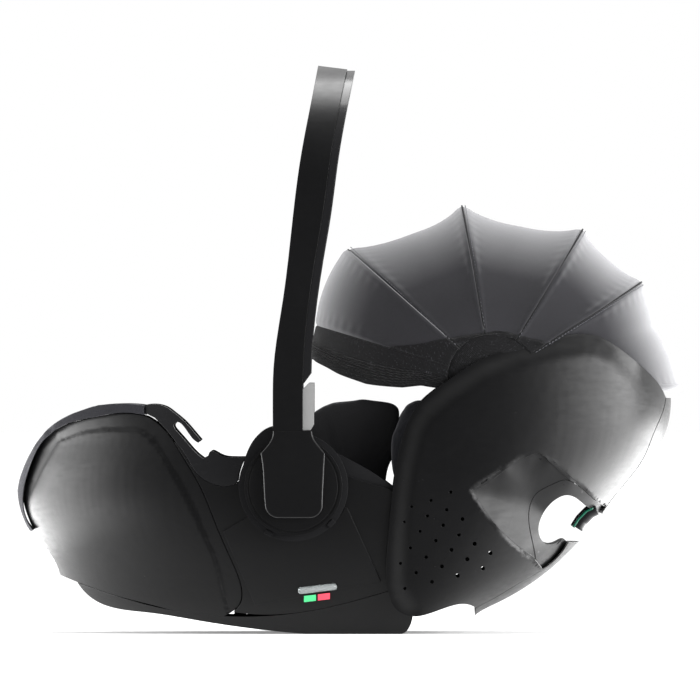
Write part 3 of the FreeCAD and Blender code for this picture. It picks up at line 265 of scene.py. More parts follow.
BLACK = (0.0022, 0.0022, 0.0024)
finishes = {
    "black_plastic": plastic("black_plastic", BLACK, 0.36, specular=0.34),
    "dark_structure": plastic("dark_structure", (0.006, 0.006, 0.0065), 0.52, grain=1.0, specular=0.3),
    "grey_grip": plastic("grey_grip", (0.16, 0.16, 0.16), 0.6, grain=2.5, grain_size=1300.0, specular=0.45),
    "gloss_black": plastic("gloss_black", (0.004, 0.004, 0.0045), 0.22, grain=0.2, specular=0.45, coat=0.05),
    "hook_green": plastic("hook_green", (0.003, 0.06, 0.035), 0.22, grain=0.2, specular=0.5, coat=0.1),
    "steel": metal("steel"),
    "feet_rubber": plastic("feet_rubber", (0.02, 0.02, 0.02), 0.75, grain=2.0, grain_size=1500.0, specular=0.25),
    "vial_clear": clear("vial_clear"),
    "label_green": printed("label_green", (0.06, 0.55, 0.2)),
    "label_red": printed("label_red", (0.8, 0.05, 0.09)),
    # canopy_fabric's top=0.26 paints a light rim highlight towards the canopy's outline.
    "canopy_fabric": woven("canopy_fabric", (0.018, 0.0176, 0.021), (0.009, 0.0089, 0.0105), 0.9, sheen=0.12, relief=0.2,
                           flat=True, top=0.26),
    "knit_band": knitted("knit_band", (0.0085, 0.0085, 0.0095), (0.0022, 0.0022, 0.0025)),
    "cover_fabric": woven("cover_fabric", (0.02, 0.02, 0.025), (0.006, 0.006, 0.008), 1.1, sheen=0.2, relief=0.3),
    "insert_fabric": woven("insert_fabric", (0.005, 0.005, 0.006), (0.002, 0.002, 0.0025), 1.0, sheen=0.1),
    "pad_fabric": woven("pad_fabric", (0.014, 0.0145, 0.018), (0.005, 0.005, 0.007), 1.2, sheen=0.18, relief=0.3),
    "webbing": woven("webbing", (0.018, 0.018, 0.02), (0.006, 0.006, 0.007), 1.4, rough=0.7, sheen=0.15, relief=0.35),
    "button_red": printed("button_red", (0.62, 0.02, 0.02)),
    "button_grey": plastic("button_grey", (0.11, 0.11, 0.115), 0.45, grain=1.2),
}
finishes["seam_thread"] = woven("seam_thread", (0.14, 0.14, 0.15), (0.07, 0.07, 0.08), 0.5, sheen=0.1, relief=0.4)
# dark_tape_and_seam_shade is a near-black tape. It is real binding on the hem, and it also colours thin seam lines
# that are painted shade for shadowed folds.
finishes["dark_tape_and_seam_shade"] = woven("dark_tape_and_seam_shade", (0.005, 0.005, 0.006), (0.002, 0.002, 0.002), 0.8, sheen=0.05, relief=0.3)

for node, obj in nodes.items():
    obj.data.materials.clear()
    obj.data.materials.append(finishes[slot_of[node]])


# ---------------------------------------------------------------- mesh helpers
def new_piece(name, points, faces, slot, smooth=True):
    mesh = bpy.data.meshes.new(name)
    mesh.from_pydata([tuple(p) for p in points], [], faces)
    mesh.validate()
    mesh.update()
    obj = bpy.data.objects.new(name, mesh)
    bpy.context.scene.collection.objects.link(obj)
    if smooth:
        mesh.polygons.foreach_set("use_smooth", [True] * len(mesh.polygons))
    mesh.materials.append(finishes[slot])
    return obj


def places(obj):
    co = np.zeros(len(obj.data.vertices) * 3)
    obj.data.vertices.foreach_get("co", co)
    return co.reshape(-1, 3)


def move_to(obj, co):
    obj.data.vertices.foreach_set("co", co.reshape(-1))
    obj.data.update()


def normals(obj):
    obj.data.update()
    no = np.zeros(len(obj.data.vertices) * 3)
    obj.data.vertex_normals.foreach_get("vector", no)
    return no.reshape(-1, 3)


def apply_modifiers(obj):
    bpy.context.view_layer.update()
    graph = bpy.context.evaluated_depsgraph_get()
    made = bpy.data.meshes.new_from_object(obj.evaluated_get(graph), depsgraph=graph)
    obj.modifiers.clear()
    old = obj.data
    obj.data = made
    made.name = obj.name
    bpy.data.meshes.remove(old)
    return obj


def thicken(obj, thickness, offset=-1.0):
    solid = obj.modifiers.new("thickness", "SOLIDIFY")
    solid.thickness = thickness
    solid.offset = offset
    solid.use_even_offset = True
    return apply_modifiers(obj)


def ease(value, start, end):
    t = np.clip((value - start) / (end - start), 0, 1)
    return t * t * (3 - 2 * t)


def wavy(co, size, seed=0.0):
    """A smooth, repeatable unevenness between -1 and 1 for each place, about size metres from crest to crest."""
    k = 2 * math.pi / size
    x, y, z = co[:, 0] * k, co[:, 1] * k, co[:, 2] * k
    return (np.sin(x + 1.7 * np.sin(0.6 * y + seed) + seed) * np.sin(0.8 * y + 1.3 * np.sin(0.7 * z) + 2 * seed)
            + np.sin(0.9 * z + 1.1 * np.sin(0.5 * x + 3 * seed) + 0.4 * y)) / 2


# ---------------------------------------------------------------- canopy
Y_CLOTH = 0.1725
GORE_START = 0.0475
TAUT = 2.5        # higher for cloth that turns more sharply at the ribs
CLOTH = 0.0012
VISOR = [(138.0, 203.0), (150.0, 200.0), (163.2, 191.0)]
BAND = [(163.2, 191.0), (173.0, 189.5), (190.0, 190.0)]
FRONT_GORE = [(138.0, 203.0), (118.9, 173.8), (99.8, 184.6)]
MIDDLE_GORE = [(99.8, 184.6), (79.2, 162.8), (58.7, 184.0)]
REAR_GORE = [(58.7, 184.0), (47.0, 174.8), (32.9, 187.5)]
REAR = [(32.9, 187.5), (25.2, 182.2), (16.9, 179.8), (5.1, 191.0), (-3.9, 199.0)]
# where the knit starts, as (angle, distance from the canopy's pins); and the hem
KNIT_EDGE = [(-10, 72), (38, 66), (48, 58), (62.5, 52.2), (80, 49.5), (101, 49.3), (118, 52.5), (131, 58.5), (141, 66),
             (150.9, 78), (156, 88), (160, 102), (163.2, 118)]
HEM = [(39.7, 193.0), (73.8, 184.6), (95.0, 184.9), (132.0, 181.9), (161.2, 177.7), (188.2, 173.6), (200.0, 172.9)]


def reach_at(stations, angle):
    """The crown's distance from the pins at one angle, on a smooth line through the stations."""
    a = [s[0] for s in stations]
    r = [s[1] * MM for s in stations]
    if len(stations) == 3:
        t = (angle - a[0]) / (a[2] - a[0])
        middle = (a[1] - a[0]) / (a[2] - a[0])
        sag = (r[0] + (r[2] - r[0]) * middle - r[1]) / (1 - abs(2 * middle - 1) ** TAUT)
        return r[0] + (r[2] - r[0]) * t - sag * (1 - abs(2 * t - 1) ** TAUT)
    order = np.argsort(a)
    xs, ys = np.array(a)[order], np.array(r)[order]
    fine = np.linspace(xs[0], xs[-1], 60)
    line = np.interp(fine, xs, ys)
    for _ in range(6):
        line[1:-1] = (line[:-2] + 2 * line[1:-1] + line[2:]) / 4
    return float(np.interp(angle, fine, line))


def on_arch(angle, reach, swell, power, half=Y_CLOTH):
    """A place on the arch; swell runs from 0 at the side to pi/2 at the crown."""
    r = reach * math.sin(swell) ** (2 / power)
    y = half * max(math.cos(swell), 0.0) ** (2 / power)
    a = math.radians(angle)
    return np.array([PIVOT.x + r * math.cos(a), y, PIVOT.z + r * math.sin(a)])


def swell_at(r, reach, power):
    return math.asin(min((r / reach) ** (power / 2), 1.0))


def grid_piece(name, rows, slot, split=None, second=None):
    """A sheet from rows of places, with its threads' directions; split gives each quad's material."""
    count, wide = len(rows), len(rows[0])
    points = np.array(rows).reshape(-1, 3)
    faces = [(i * wide + j, i * wide + j + 1, (i + 1) * wide + j + 1, (i + 1) * wide + j)
             for i in range(count - 1) for j in range(wide - 1)]
    obj = new_piece(name, points, faces, slot)
    grid = points.reshape(count, wide, 3)
    along = np.linalg.norm(np.diff(grid, axis=0), axis=2)
    across = np.linalg.norm(np.diff(grid, axis=1), axis=2)
    v = np.vstack([np.zeros(wide), np.cumsum(along, axis=0)])
    u = np.hstack([np.zeros((count, 1)), np.cumsum(across, axis=1)])
    u = u - u[:, [wide // 2]]
    layer = obj.data.uv_layers.new(name="threads")
    loops = np.zeros(len(obj.data.loops), dtype=int)
    obj.data.loops.foreach_get("vertex_index", loops)
    uv = np.stack([u.reshape(-1)[loops], v.reshape(-1)[loops]], axis=1)
    layer.data.foreach_set("uv", uv.reshape(-1))
    if second is not None:
        obj.data.materials.append(finishes[second])
        which = [1 if split(i, j) else 0 for i in range(count - 1) for j in range(wide - 1)]
        obj.data.polygons.foreach_set("material_index", which)
    area = sum(p.area for p in obj.data.polygons)
    flat = (float(across.sum(axis=1).max()), float(along.sum(axis=0).max()))
    return obj, flat, area


def canopy_sheet(name, stations, power=2.1, start=GORE_START, columns=46, knit=True):
    """Fabric between two ribs: one curved sheet from side to side, knit at both ends."""
    a0, a1 = stations[0][0], stations[-1][0]
    low_rows, high_rows = 12, 54
    rows = []
    edge_angle = [e[0] for e in KNIT_EDGE]
    edge_reach = [e[1] * MM for e in KNIT_EDGE]
    for j in range(columns + 1):
        f = j / columns
        angle = a0 + (a1 - a0) * f
        reach = reach_at(stations, angle)
        knit_to = float(np.interp(angle, edge_angle, edge_reach)) if knit else start + 0.001
        s0 = swell_at(start, reach, power)
        s1 = swell_at(max(knit_to, start + 0.0005), reach, power)
        swells = [s0 + (s1 - s0) * i / low_rows for i in range(low_rows)]
        swells += [s1 + (math.pi / 2 - s1) * i / high_rows for i in range(high_rows + 1)]
        side = []
        tense = math.sin(math.pi * f)
        for i, s in enumerate(swells):
            p = on_arch(angle, reach, s, power)
            out = np.array([p[0] - PIVOT.x, p[1] * 0.9, p[2] - PIVOT.z])
            out /= np.linalg.norm(out)
            lift = 0.0
            if knit:
                near = abs(s - s1) * reach
                lift += -0.0011 * math.exp(-(near / 0.0012) ** 2) + 0.0006 * math.exp(-((near - 0.004) / 0.002) ** 2)
            for g in (f, 1 - f):
                d = g * abs(a1 - a0) * math.pi / 180 * 0.15
                lift += 0.0007 * math.exp(-((d - 0.005) / 0.003) ** 2) - 0.0012 * math.exp(-(d / 0.0018) ** 2)
                lift += 0.00012 * math.exp(-((d - 0.008) / 0.006) ** 2) * math.sin(s * 70 + g * 3 + a0)
            lift += 0.0008 * tense * math.sin(s * 5.3 + a0) * math.sin(s * 2)
            side.append(p + out * lift)
        whole = side + [np.array([p[0], -p[1], p[2]]) for p in reversed(side[:-1])]
        rows.append(whole)
    wide = len(rows[0])
    split = (lambda i, j: j < low_rows or j >= wide - 1 - low_rows) if knit else None
    obj, flat, area = grid_piece(name, rows, "canopy_fabric", split, "knit_band" if knit else None)
    thicken(obj, CLOTH)
    return obj


def turning(obj):
    """Bakes the cloth's placement into its mesh; it does not make the cloth turn with either rib."""
    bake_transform(obj)
    co = places(obj)


def tube(name, path, radius, slot, sides=8, squeeze=1.0):
    """A closed round strip along a line of places."""
    path = np.array(path)
    tangent = np.gradient(path, axis=0)
    tangent /= np.linalg.norm(tangent, axis=1)[:, None]
    points, faces = [], []
    up = np.array([0.31, 0.17, 0.93])
    for p, t in zip(path, tangent):
        a = np.cross(t, up)
        a /= np.linalg.norm(a)
        b = np.cross(t, a)
        for k in range(sides):
            w = 2 * math.pi * k / sides
            points.append(p + a * radius * math.cos(w) + b * radius * squeeze * math.sin(w))
    for i in range(len(path) - 1):
        for k in range(sides):
            n = (k + 1) % sides
            faces.append((i * sides + k, i * sides + n, (i + 1) * sides + n, (i + 1) * sides + k))
    faces.append(tuple(reversed(range(sides))))
    last = (len(path) - 1) * sides
    faces.append(tuple(last + k for k in range(sides)))
    return new_piece(name, points, faces, slot)


def stitching(name, path, outward, slot="seam_thread", pitch=0.0042, length=0.0026, width=0.00045):
    """Separate stitches lying on a cloth line; outward is the cloth's outward direction at each place."""
    path, outward = np.array(path), np.array(outward)
    step = np.linalg.norm(np.diff(path, axis=0), axis=1)
    run = np.concatenate([[0], np.cumsum(step)])
    points, faces = [], []
    for centre in np.arange(pitch, run[-1] - pitch, pitch):
        ends = []
        for s in (centre - length / 2, centre, centre + length / 2):
            ends.append(np.array([np.interp(s, run, path[:, k]) for k in range(3)]))
        out = np.array([np.interp(centre, run, outward[:, k]) for k in range(3)])
        out /= np.linalg.norm(out)
        t = ends[2] - ends[0]
        t /= np.linalg.norm(t)
        side = np.cross(t, out)
        base = len(points)
        for q, fat in ((ends[0], 0.35), (ends[1], 1.0), (ends[2], 0.35)):
            for c, h in ((1, 0), (0, 1), (-1, 0), (0, -1)):
                points.append(q + side * c * width * fat + out * (h * width * 0.8 * fat + 0.00012))
        for ring in (0, 4):
            for k in range(4):
                n = (k + 1) % 4
                faces.append((base + ring + k, base + ring + n, base + ring + 4 + n, base + ring + 4 + k))
        faces.append((base + 3, base + 2, base + 1, base))
        faces.append((base + 8, base + 9, base + 10, base + 11))
    return new_piece(name, points, faces, slot)


def arch_line(angle, reach, power, lift=0.0, shift=0.0, start=GORE_START, count=110):
    """A line over the canopy at one angle, shifted sideways along the cloth, with its outward directions."""
    s0 = swell_at(start, reach, power)
    line, outs = [], []
    swells = [s0 + (math.pi / 2 - s0) * i / (count // 2) for i in range(count // 2 + 1)]
    swells += list(reversed([-s for s in swells[:-1]]))
    for s in swells:
        p = on_arch(angle + math.degrees(shift / 0.16), reach, abs(s), power)
        if s < 0:
            p[1] = -p[1]
        out = np.array([p[0] - PIVOT.x, p[1] * 0.9, p[2] - PIVOT.z])
        out /= np.linalg.norm(out)
        line.append(p + out * lift)
        outs.append(out)
    return line, outs


def build_canopy():
    visor = canopy_sheet("canopy_visor_cloth", VISOR)
    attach(visor, "canopy_front")
    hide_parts("canopy_visor")
    front = canopy_sheet("canopy_front_gore_cloth", FRONT_GORE)
    turning(front)
    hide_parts("canopy_gore_front")
    middle = canopy_sheet("canopy_middle_gore_cloth", MIDDLE_GORE)
    turning(middle)
    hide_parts("canopy_gore_middle")
    rear = canopy_sheet("canopy_rear_gore_cloth", REAR_GORE)
    turning(rear)
    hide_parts("canopy_gore_rear")
    back = canopy_sheet("canopy_rear_cloth", REAR, power=2.0)
    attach(back, "backrest")
    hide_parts("canopy_rear_fabric")
    line, _ = arch_line(-2.6, 0.1985, 2.0, lift=-0.0035)
    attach(tube("canopy_rear_roll", line, 0.0042, "canopy_fabric", sides=14), "backrest")
    build_band()
    build_gussets()
    seams = [("front", 138.0, 0.2030, "canopy_front"), ("middle", 99.8, 0.1846, "canopy_middle"),
             ("rear", 58.7, 0.1840, "canopy_rear"), ("fixed", 32.9, 0.1875, "backrest")]
    for label, angle, reach, body in seams:
        power = 2.05
        line, _ = arch_line(angle, reach, power, lift=-0.0004)
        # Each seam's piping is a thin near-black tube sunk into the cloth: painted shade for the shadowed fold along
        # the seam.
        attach(tube(f"canopy_seam_shade_piping_{label}", line, 0.0009, "dark_tape_and_seam_shade"), body)
        for side, shift in (("a", -0.0030),):
            near = angle + math.degrees(shift / 0.16)
            r = reach - 0.0012
            line, outs = arch_line(near, r, power, lift=0.0007)
            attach(stitching(f"canopy_stitches_{label}_{side}", line, outs), body)


def build_band():
    """The elastic knit edge round the canopy's mouth, ribbed along its hem."""
    power, wide, tall = 2.1, 70, 44
    hem_r = [h[0] * MM for h in HEM]
    hem_a = [h[1] for h in HEM]
    rows = []
    for j in range(tall + 1):
        f = j / tall
        side = []
        for i in range(wide + 1):
            reach0 = 0.1905
            s0 = swell_at(GORE_START, reach0, power)
            s = s0 + (math.pi / 2 - s0) * i / wide
            r = reach0 * math.sin(s) ** (2 / power)
            angle = 163.2 + (float(np.interp(r, hem_r, hem_a)) - 163.2) * f
            reach = reach_at(BAND, angle)
            p = on_arch(angle, reach, s, power)
            out = np.array([p[0] - PIVOT.x, p[1] * 0.9, p[2] - PIVOT.z])
            out /= np.linalg.norm(out)
            ribs = 0.0006 * math.sin(2 * math.pi * 7 * (f - 0.45) / 0.5) if 0.45 < f < 0.95 else 0.0
            lift = 0.0002 + ribs + 0.0008 * math.exp(-((f - 0.985) / 0.03) ** 2)
            lift -= 0.0012 * math.exp(-(f / 0.02) ** 2)
            lift += 0.0007 * math.sin(s * 21) * f
            side.append(p + out * lift)
        rows.append(side + [np.array([p[0], -p[1], p[2]]) for p in reversed(side[:-1])])
    obj, flat, area = grid_piece("canopy_band_knit", rows, "knit_band")
    thicken(obj, 0.0016)
    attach(obj, "canopy_front")
    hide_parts("canopy_front_band")
    hem = [p + np.array([0, 0, 0.0006]) for p in rows[-1]]
    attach(tube("canopy_hem", hem, 0.0017, "dark_tape_and_seam_shade", squeeze=0.8), "canopy_front")
    low = []
    for p in rows[0]:
        out = np.array([p[0] - PIVOT.x, p[1] * 0.9, p[2] - PIVOT.z])
        low.append(p + out / np.linalg.norm(out) * 0.0001)
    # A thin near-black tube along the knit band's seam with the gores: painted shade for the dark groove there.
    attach(tube("canopy_band_seam_shade", low, 0.0008, "dark_tape_and_seam_shade"), "canopy_front")


def build_gussets():
    """Knit sides over the canopy's pins."""
    for label, side in (("right", 1), ("left", -1)):
        rows = []
        for j in range(73):
            angle = -6 + 204 * j / 72
            row = []
            for i in range(19):
                r = 0.004 + (0.052 - 0.004) * i / 18
                y = (Y_CLOTH - 0.0012) * (1 - (r / 0.186) ** 2.1) ** (1 / 2.1) - 0.0008
                a = math.radians(angle)
                row.append(np.array([PIVOT.x + r * math.cos(a), side * y, PIVOT.z + r * math.sin(a)]))
            rows.append(row if side < 0 else list(reversed(row)))
        obj, flat, area = grid_piece(f"canopy_gusset_{label}", rows, "knit_band")
        thicken(obj, 0.0012)
        flat = (max(flat), max(flat))
        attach(obj, "backrest")
        if side > 0:
            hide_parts("canopy_gussets")


# ---------------------------------------------------------------- cushions
def copied(name, node, slot):
    mesh = nodes[node].data.copy()
    mesh.name = name
    obj = bpy.data.objects.new(name, mesh)
    bpy.context.scene.collection.objects.link(obj)
    mesh.materials.clear()
    mesh.materials.append(finishes[slot])
    return obj


def remeshed(obj, size, rounds=4, factor=0.6):
    remesh = obj.modifiers.new("remesh", "REMESH")
    remesh.mode = "VOXEL"
    remesh.voxel_size = size
    if rounds:
        smooth = obj.modifiers.new("smooth", "SMOOTH")
        smooth.factor = factor
        smooth.iterations = rounds
    apply_modifiers(obj)
    obj.data.polygons.foreach_set("use_smooth", [True] * len(obj.data.polygons))
    return obj


def stuffed(name, node, slot, body, voxel=0.005, shrink=0.003, cap=0.006, pressure=4.0, frames=20):
    """A cushion: the CAD solid's place, sewn smaller and blown up until its cloth is tight."""
    obj = copied(name, node, slot)
    remeshed(obj, voxel, 6)
    start = places(obj) - normals(obj) * shrink
    move_to(obj, start)
    cloth = obj.modifiers.new("cloth", "CLOTH")
    cloth.settings.use_pressure = True
    cloth.settings.uniform_pressure_force = pressure
    cloth.settings.effector_weights.gravity = 0.0
    cloth.settings.quality = 5
    cloth.settings.tension_stiffness = 12
    cloth.settings.compression_stiffness = 12
    cloth.settings.mass = 0.25
    cloth.collision_settings.use_collision = False
    cloth.point_cache.frame_end = frames
    scene = bpy.context.scene
    for f in range(1, frames + 1):
        scene.frame_set(f)
    apply_modifiers(obj)
    scene.frame_set(1)
    moved = places(obj) - start
    far = np.linalg.norm(moved, axis=1)
    keep = np.minimum(1.0, cap / np.maximum(far, 1e-9))
    move_to(obj, start + moved * keep[:, None])
    smooth = obj.modifiers.new("smooth", "SMOOTH")
    smooth.iterations = 3
    divide = obj.modifiers.new("finer", "SUBSURF")
    divide.levels = 1
    divide.render_levels = 1
    apply_modifiers(obj)
    obj.data.polygons.foreach_set("use_smooth", [True] * len(obj.data.polygons))
    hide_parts(node)
    return obj


def groove(obj, distance, depth=0.003, width=0.004, where=None):
    """Presses a sewn line into a cushion; distance is each vertex's distance from the line."""
    co, no = places(obj), normals(obj)
    weight = np.exp(-(distance / width) ** 2)
    swell = 0.35 * np.exp(-((np.abs(distance) - 2.6 * width) / (1.4 * width)) ** 2)
    change = (swell - weight) * depth
    if where is not None:
        change = change * where
    move_to(obj, co + no * change[:, None])


def crumple(obj, height, size, seed):
    co, no = places(obj), normals(obj)
    move_to(obj, co + no * (wavy(co, size, seed) * height)[:, None])


def build_cushions():
    pad = stuffed("seat_cushion", "seat_pad", "pad_fabric", "base", shrink=0.002, cap=0.005)
    co = places(pad)
    for x in (-0.26, -0.205, -0.15, -0.095):
        groove(pad, co[:, 0] - x - 0.15 * np.abs(co[:, 1]) ** 1.2, 0.003, 0.0045)
    for y in (-0.062, 0.062):
        groove(pad, np.abs(co[:, 1] - y) + 0 * co[:, 0], 0.0028, 0.0045)
    crumple(pad, 0.0006, 0.045, 1.0)
    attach(pad, "base")

    rim = dense_copy("foot_rim_cover", "seat_cover_foot", 0.006)
    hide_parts("seat_cover_foot")
    co = places(rim)
    for y in (-0.085, 0.085):
        groove(rim, co[:, 1] - y, 0.0018, 0.003)
    crumple(rim, 0.0007, 0.05, 2.0)
    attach(rim, "base")

    insert = stuffed("newborn_support", "newborn_insert", "insert_fabric", "base", shrink=0.002, cap=0.005)
    co = places(insert)
    seam = np.where(np.abs(co[:, 1]) > 0.09, co[:, 0] + 0.012 + 0.2 * (co[:, 2] - 0.16), 1.0)
    groove(insert, seam, 0.002, 0.004, 1 - ease(co[:, 2], 0.21, 0.235))
    crumple(insert, 0.0003, 0.07, 3.0)
    co = places(insert)
    co[:, 0] += 0.008 * ease(co[:, 0], 0.028, 0.048) * ease(co[:, 2], 0.10, 0.14)
    move_to(insert, co)
    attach(insert, "base")

    back = stuffed("backrest_cushion", "backrest_pad", "pad_fabric", "backrest", shrink=0.0015, cap=0.0045)
    co = places(back)
    a = math.radians(35.5)
    s = (co[:, 0] - 0.075) * math.cos(a) + (co[:, 2] - 0.070) * math.sin(a)
    middle = 1 - ease(np.abs(co[:, 1]), 0.095, 0.115)
    for place in (0.04, 0.09, 0.225, 0.265):
        groove(back, s - place, 0.003, 0.0045, middle)
    crumple(back, 0.0003, 0.06, 4.0)
    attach(back, "backrest")

    head = stuffed("headrest_cushion", "headrest_pad", "pad_fabric", "headrest", voxel=0.004, shrink=0.0015, cap=0.004)
    co = places(head)
    groove(head, np.abs(co[:, 1]) - 0.045, 0.0025, 0.004)
    crumple(head, 0.0005, 0.04, 5.0)
    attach(head, "headrest")

    pads = stuffed("shoulder_padding", "shoulder_pads", "pad_fabric", "headrest", voxel=0.003, shrink=0.001, cap=0.003)
    co = places(pads)
    for side in (-1, 1):
        groove(pads, np.where(co[:, 1] * side > 0, np.abs(co[:, 1] - side * 0.03) - 0.022, 1.0), 0.0012, 0.002)
    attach(pads, "headrest")


# ---------------------------------------------------------------- webbing
def ribbon(name, path, y, width, thickness, slot="webbing"):
    """Flat webbing along a side-view line, with thicker woven edges."""
    path = np.array(path)
    fine = [path[0]]
    count = 14
    padded = np.vstack([2 * path[0] - path[1], path, 2 * path[-1] - path[-2]])
    for i in range(1, len(padded) - 2):
        p0, p1, p2, p3 = padded[i - 1:i + 3]
        for k in range(1, count + 1):
            t = k / count
            fine.append(0.5 * ((2 * p1) + (p2 - p0) * t + (2 * p0 - 5 * p1 + 4 * p2 - p3) * t ** 2
                               + (3 * p1 - p0 - 3 * p2 + p3) * t ** 3))
    fine = np.array(fine)
    tangent = np.gradient(fine, axis=0)
    tangent /= np.linalg.norm(tangent, axis=1)[:, None]
    up = np.stack([-tangent[:, 1], tangent[:, 0]], axis=1)
    profile = []
    for k in range(13):
        f = k / 12
        edge = 1.0 + 0.35 * math.exp(-(min(f, 1 - f) / 0.07) ** 2)
        profile.append(((f - 0.5) * width, edge))
    points, faces = [], []
    ring = len(profile) * 2
    for i, (p, n) in enumerate(zip(fine, up)):
        for c, h in profile:
            points.append((p[0] + n[0] * thickness * h / 2, y + c, p[1] + n[1] * thickness * h / 2))
        for c, h in reversed(profile):
            points.append((p[0] - n[0] * thickness * h / 2, y + c, p[1] - n[1] * thickness * h / 2))
    for i in range(len(fine) - 1):
        for k in range(ring):
            n = (k + 1) % ring
            faces.append((i * ring + k, (i + 1) * ring + k, (i + 1) * ring + n, i * ring + n))
    faces.append(tuple(range(ring)))
    last = (len(fine) - 1) * ring
    faces.append(tuple(last + k for k in reversed(range(ring))))
    return new_piece(name, points, faces, slot)


def up_back(s, n):
    a = math.radians(35.5)
    return (0.075 + (s * math.cos(a) - n * math.sin(a)) * MM, 0.070 + (s * math.sin(a) + n * math.cos(a)) * MM)


def build_webbing():
    line = [(-0.036, 0.105), (-0.015, 0.1125), (0.030, 0.1128), up_back(20, 32.6), up_back(60, 22.8),
            up_back(98, 20.8), up_back(114, 16.0), up_back(121, 10.5)]
    for label, y in (("left", -0.030), ("right", 0.030)):
        strap = ribbon(f"harness_strap_{label}", line, y, 0.032, 0.0016)
        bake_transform(strap)
        if label == "left":
            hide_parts("harness_straps")
    low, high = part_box("crotch_strap")
    x = (low.x + high.x) / 2
    strap = ribbon("crotch_webbing", [(x - 0.003, low.z), (x, (low.z + high.z) / 2), (x + 0.003, high.z)], 0.0, 0.032,
                   0.003)
    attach(strap, "base")
    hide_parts("crotch_strap")
    low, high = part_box("adjuster_strap")
    points = [(high.x, low.z + 0.002), (high.x - 0.35 * (high.x - low.x), low.z + 0.006),
              (low.x + 0.2 * (high.x - low.x), low.z + 0.5 * (high.z - low.z)), (low.x + 0.001, high.z - 0.001)]
    tail = ribbon("adjuster_webbing", points, 0.0, 0.026, 0.0016)
    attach(tail, "base")
    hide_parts("adjuster_strap")


# ---------------------------------------------------------------- shaped panels
HEAD_EDGE = [(52, 23), (41.6, 38.5), (38.5, 52), (39.5, 95.7), (43.7, 144.6), (48.9, 180.3), (58.8, 218.4),
             (71.6, 239.7), (96.7, 261), (133.7, 285), (173.5, 300.8), (213.2, 310), (245.1, 313), (261, 310),
             (279.8, 299.5), (306.2, 278.2), (324.5, 258.3)]
SCOOP_EDGE = [(124.6, 150.8), (160, 174), (188.2, 190), (197, 191.5), (209.5, 182.4), (233, 161.2), (262.5, 136),
              (275, 128), (240, 84), (205, 62), (193.4, 75.2), (179.8, 84.8), (149.8, 112.3), (124.6, 150.8)]
FOOT_STEP = [(-343, 120), (-334, 145), (-321.4, 171.6), (-303.7, 200.7), (-282, 209), (-260, 213.2), (-220.5, 213.2),
             (-208, 204.9), (-192.4, 182), (-175, 152), (-158, 118), (-141, 78), (-132, 40)]


def dense_copy(name, node, longest=0.004):
    """A CAD node's mesh, cut finer so that its faces can be bent, with its crisp edges kept."""
    obj = copied(name, node, slot_of[node])
    bm = bmesh.new()
    bm.from_mesh(obj.data)
    bmesh.ops.remove_doubles(bm, verts=bm.verts, dist=2e-6)
    for edge in bm.edges:
        edge.smooth = not (len(edge.link_faces) == 2 and edge.calc_face_angle(0.0) > 0.45)
    for _ in range(8):
        long_edges = [e for e in bm.edges if e.calc_length() > longest]
        if not long_edges:
            break
        bmesh.ops.subdivide_edges(bm, edges=long_edges, cuts=1)
        bmesh.ops.triangulate(bm, faces=[f for f in bm.faces if len(f.verts) > 3])
    for face in bm.faces:
        face.smooth = True
    mesh = bpy.data.meshes.new(name)
    bm.to_mesh(mesh)
    bm.free()
    mesh.materials.append(finishes[slot_of[node]])
    old = obj.data
    obj.data = mesh
    bpy.data.meshes.remove(old)
    return obj


def to_line(co, line, closed=False):
    """Each place's distance in side view from a line, in metres, and which side of it the place is on."""
    p = co[:, [0, 2]]
    line = np.array(line) * MM
    best = np.full(len(p), 9.0)
    sign = np.ones(len(p))
    for a, b in zip(line[:-1], line[1:]):
        ab = b - a
        t = np.clip(((p - a) @ ab) / (ab @ ab), 0, 1)
        off = p - (a + t[:, None] * ab)
        d = np.linalg.norm(off, axis=1)
        side = ab[0] * (p[:, 1] - a[1]) - ab[1] * (p[:, 0] - a[0])
        closer = d < best
        best = np.where(closer, d, best)
        sign = np.where(closer, np.sign(side), sign)
    return best, sign


def inward(obj, depth):
    """Moves each vertex towards the middle of the seat by its depth."""
    co = places(obj)
    co[:, 1] -= np.sign(co[:, 1]) * depth
    move_to(obj, co)


def rolled_edge(co):
    """The head panel's front and top edges roll back towards the seat."""
    edge, _ = to_line(co, HEAD_EDGE)
    return 0.0065 * (1 - ease(edge, 0.0, 0.027)) ** 1.4 * ease(np.abs(co[:, 1]), 0.118, 0.15)


def panel_surface(co):
    """The head panel's outer surface round the scoop, as a smooth function of the side-view place."""
    border, side = to_line(co, SCOOP_EDGE)
    x, z = (co[:, 0] - 0.18) / 0.1, (co[:, 2] - 0.13) / 0.1
    terms = np.stack([x ** i * z ** j for i in range(4) for j in range(4 - i)], axis=1)
    near = (side > 0) & (border < 0.05) & (border > 0.003) & (np.abs(co[:, 1]) > 0.12)
    weights = np.linalg.lstsq(terms[near], np.abs(co[near, 1]), rcond=None)[0]
    for _ in range(3):
        left = np.abs(co[:, 1]) - terms @ weights
        near &= left > -0.0012
        weights = np.linalg.lstsq(terms[near], np.abs(co[near, 1]), rcond=None)[0]
    return weights


def soft_border(co, line, softness=0.006):
    """Distance in side view from a closed line, with its ridges rounded off."""
    p = co[:, [0, 2]]
    line = np.array(line) * MM
    total = np.zeros(len(p))
    for a, b in zip(line[:-1], line[1:]):
        ab = b - a
        t = np.clip(((p - a) @ ab) / (ab @ ab), 0, 1)
        total += np.exp(-np.linalg.norm(p - (a + t[:, None] * ab), axis=1) / softness)
    return np.maximum(0.002 - softness * np.log(total), 0.0)


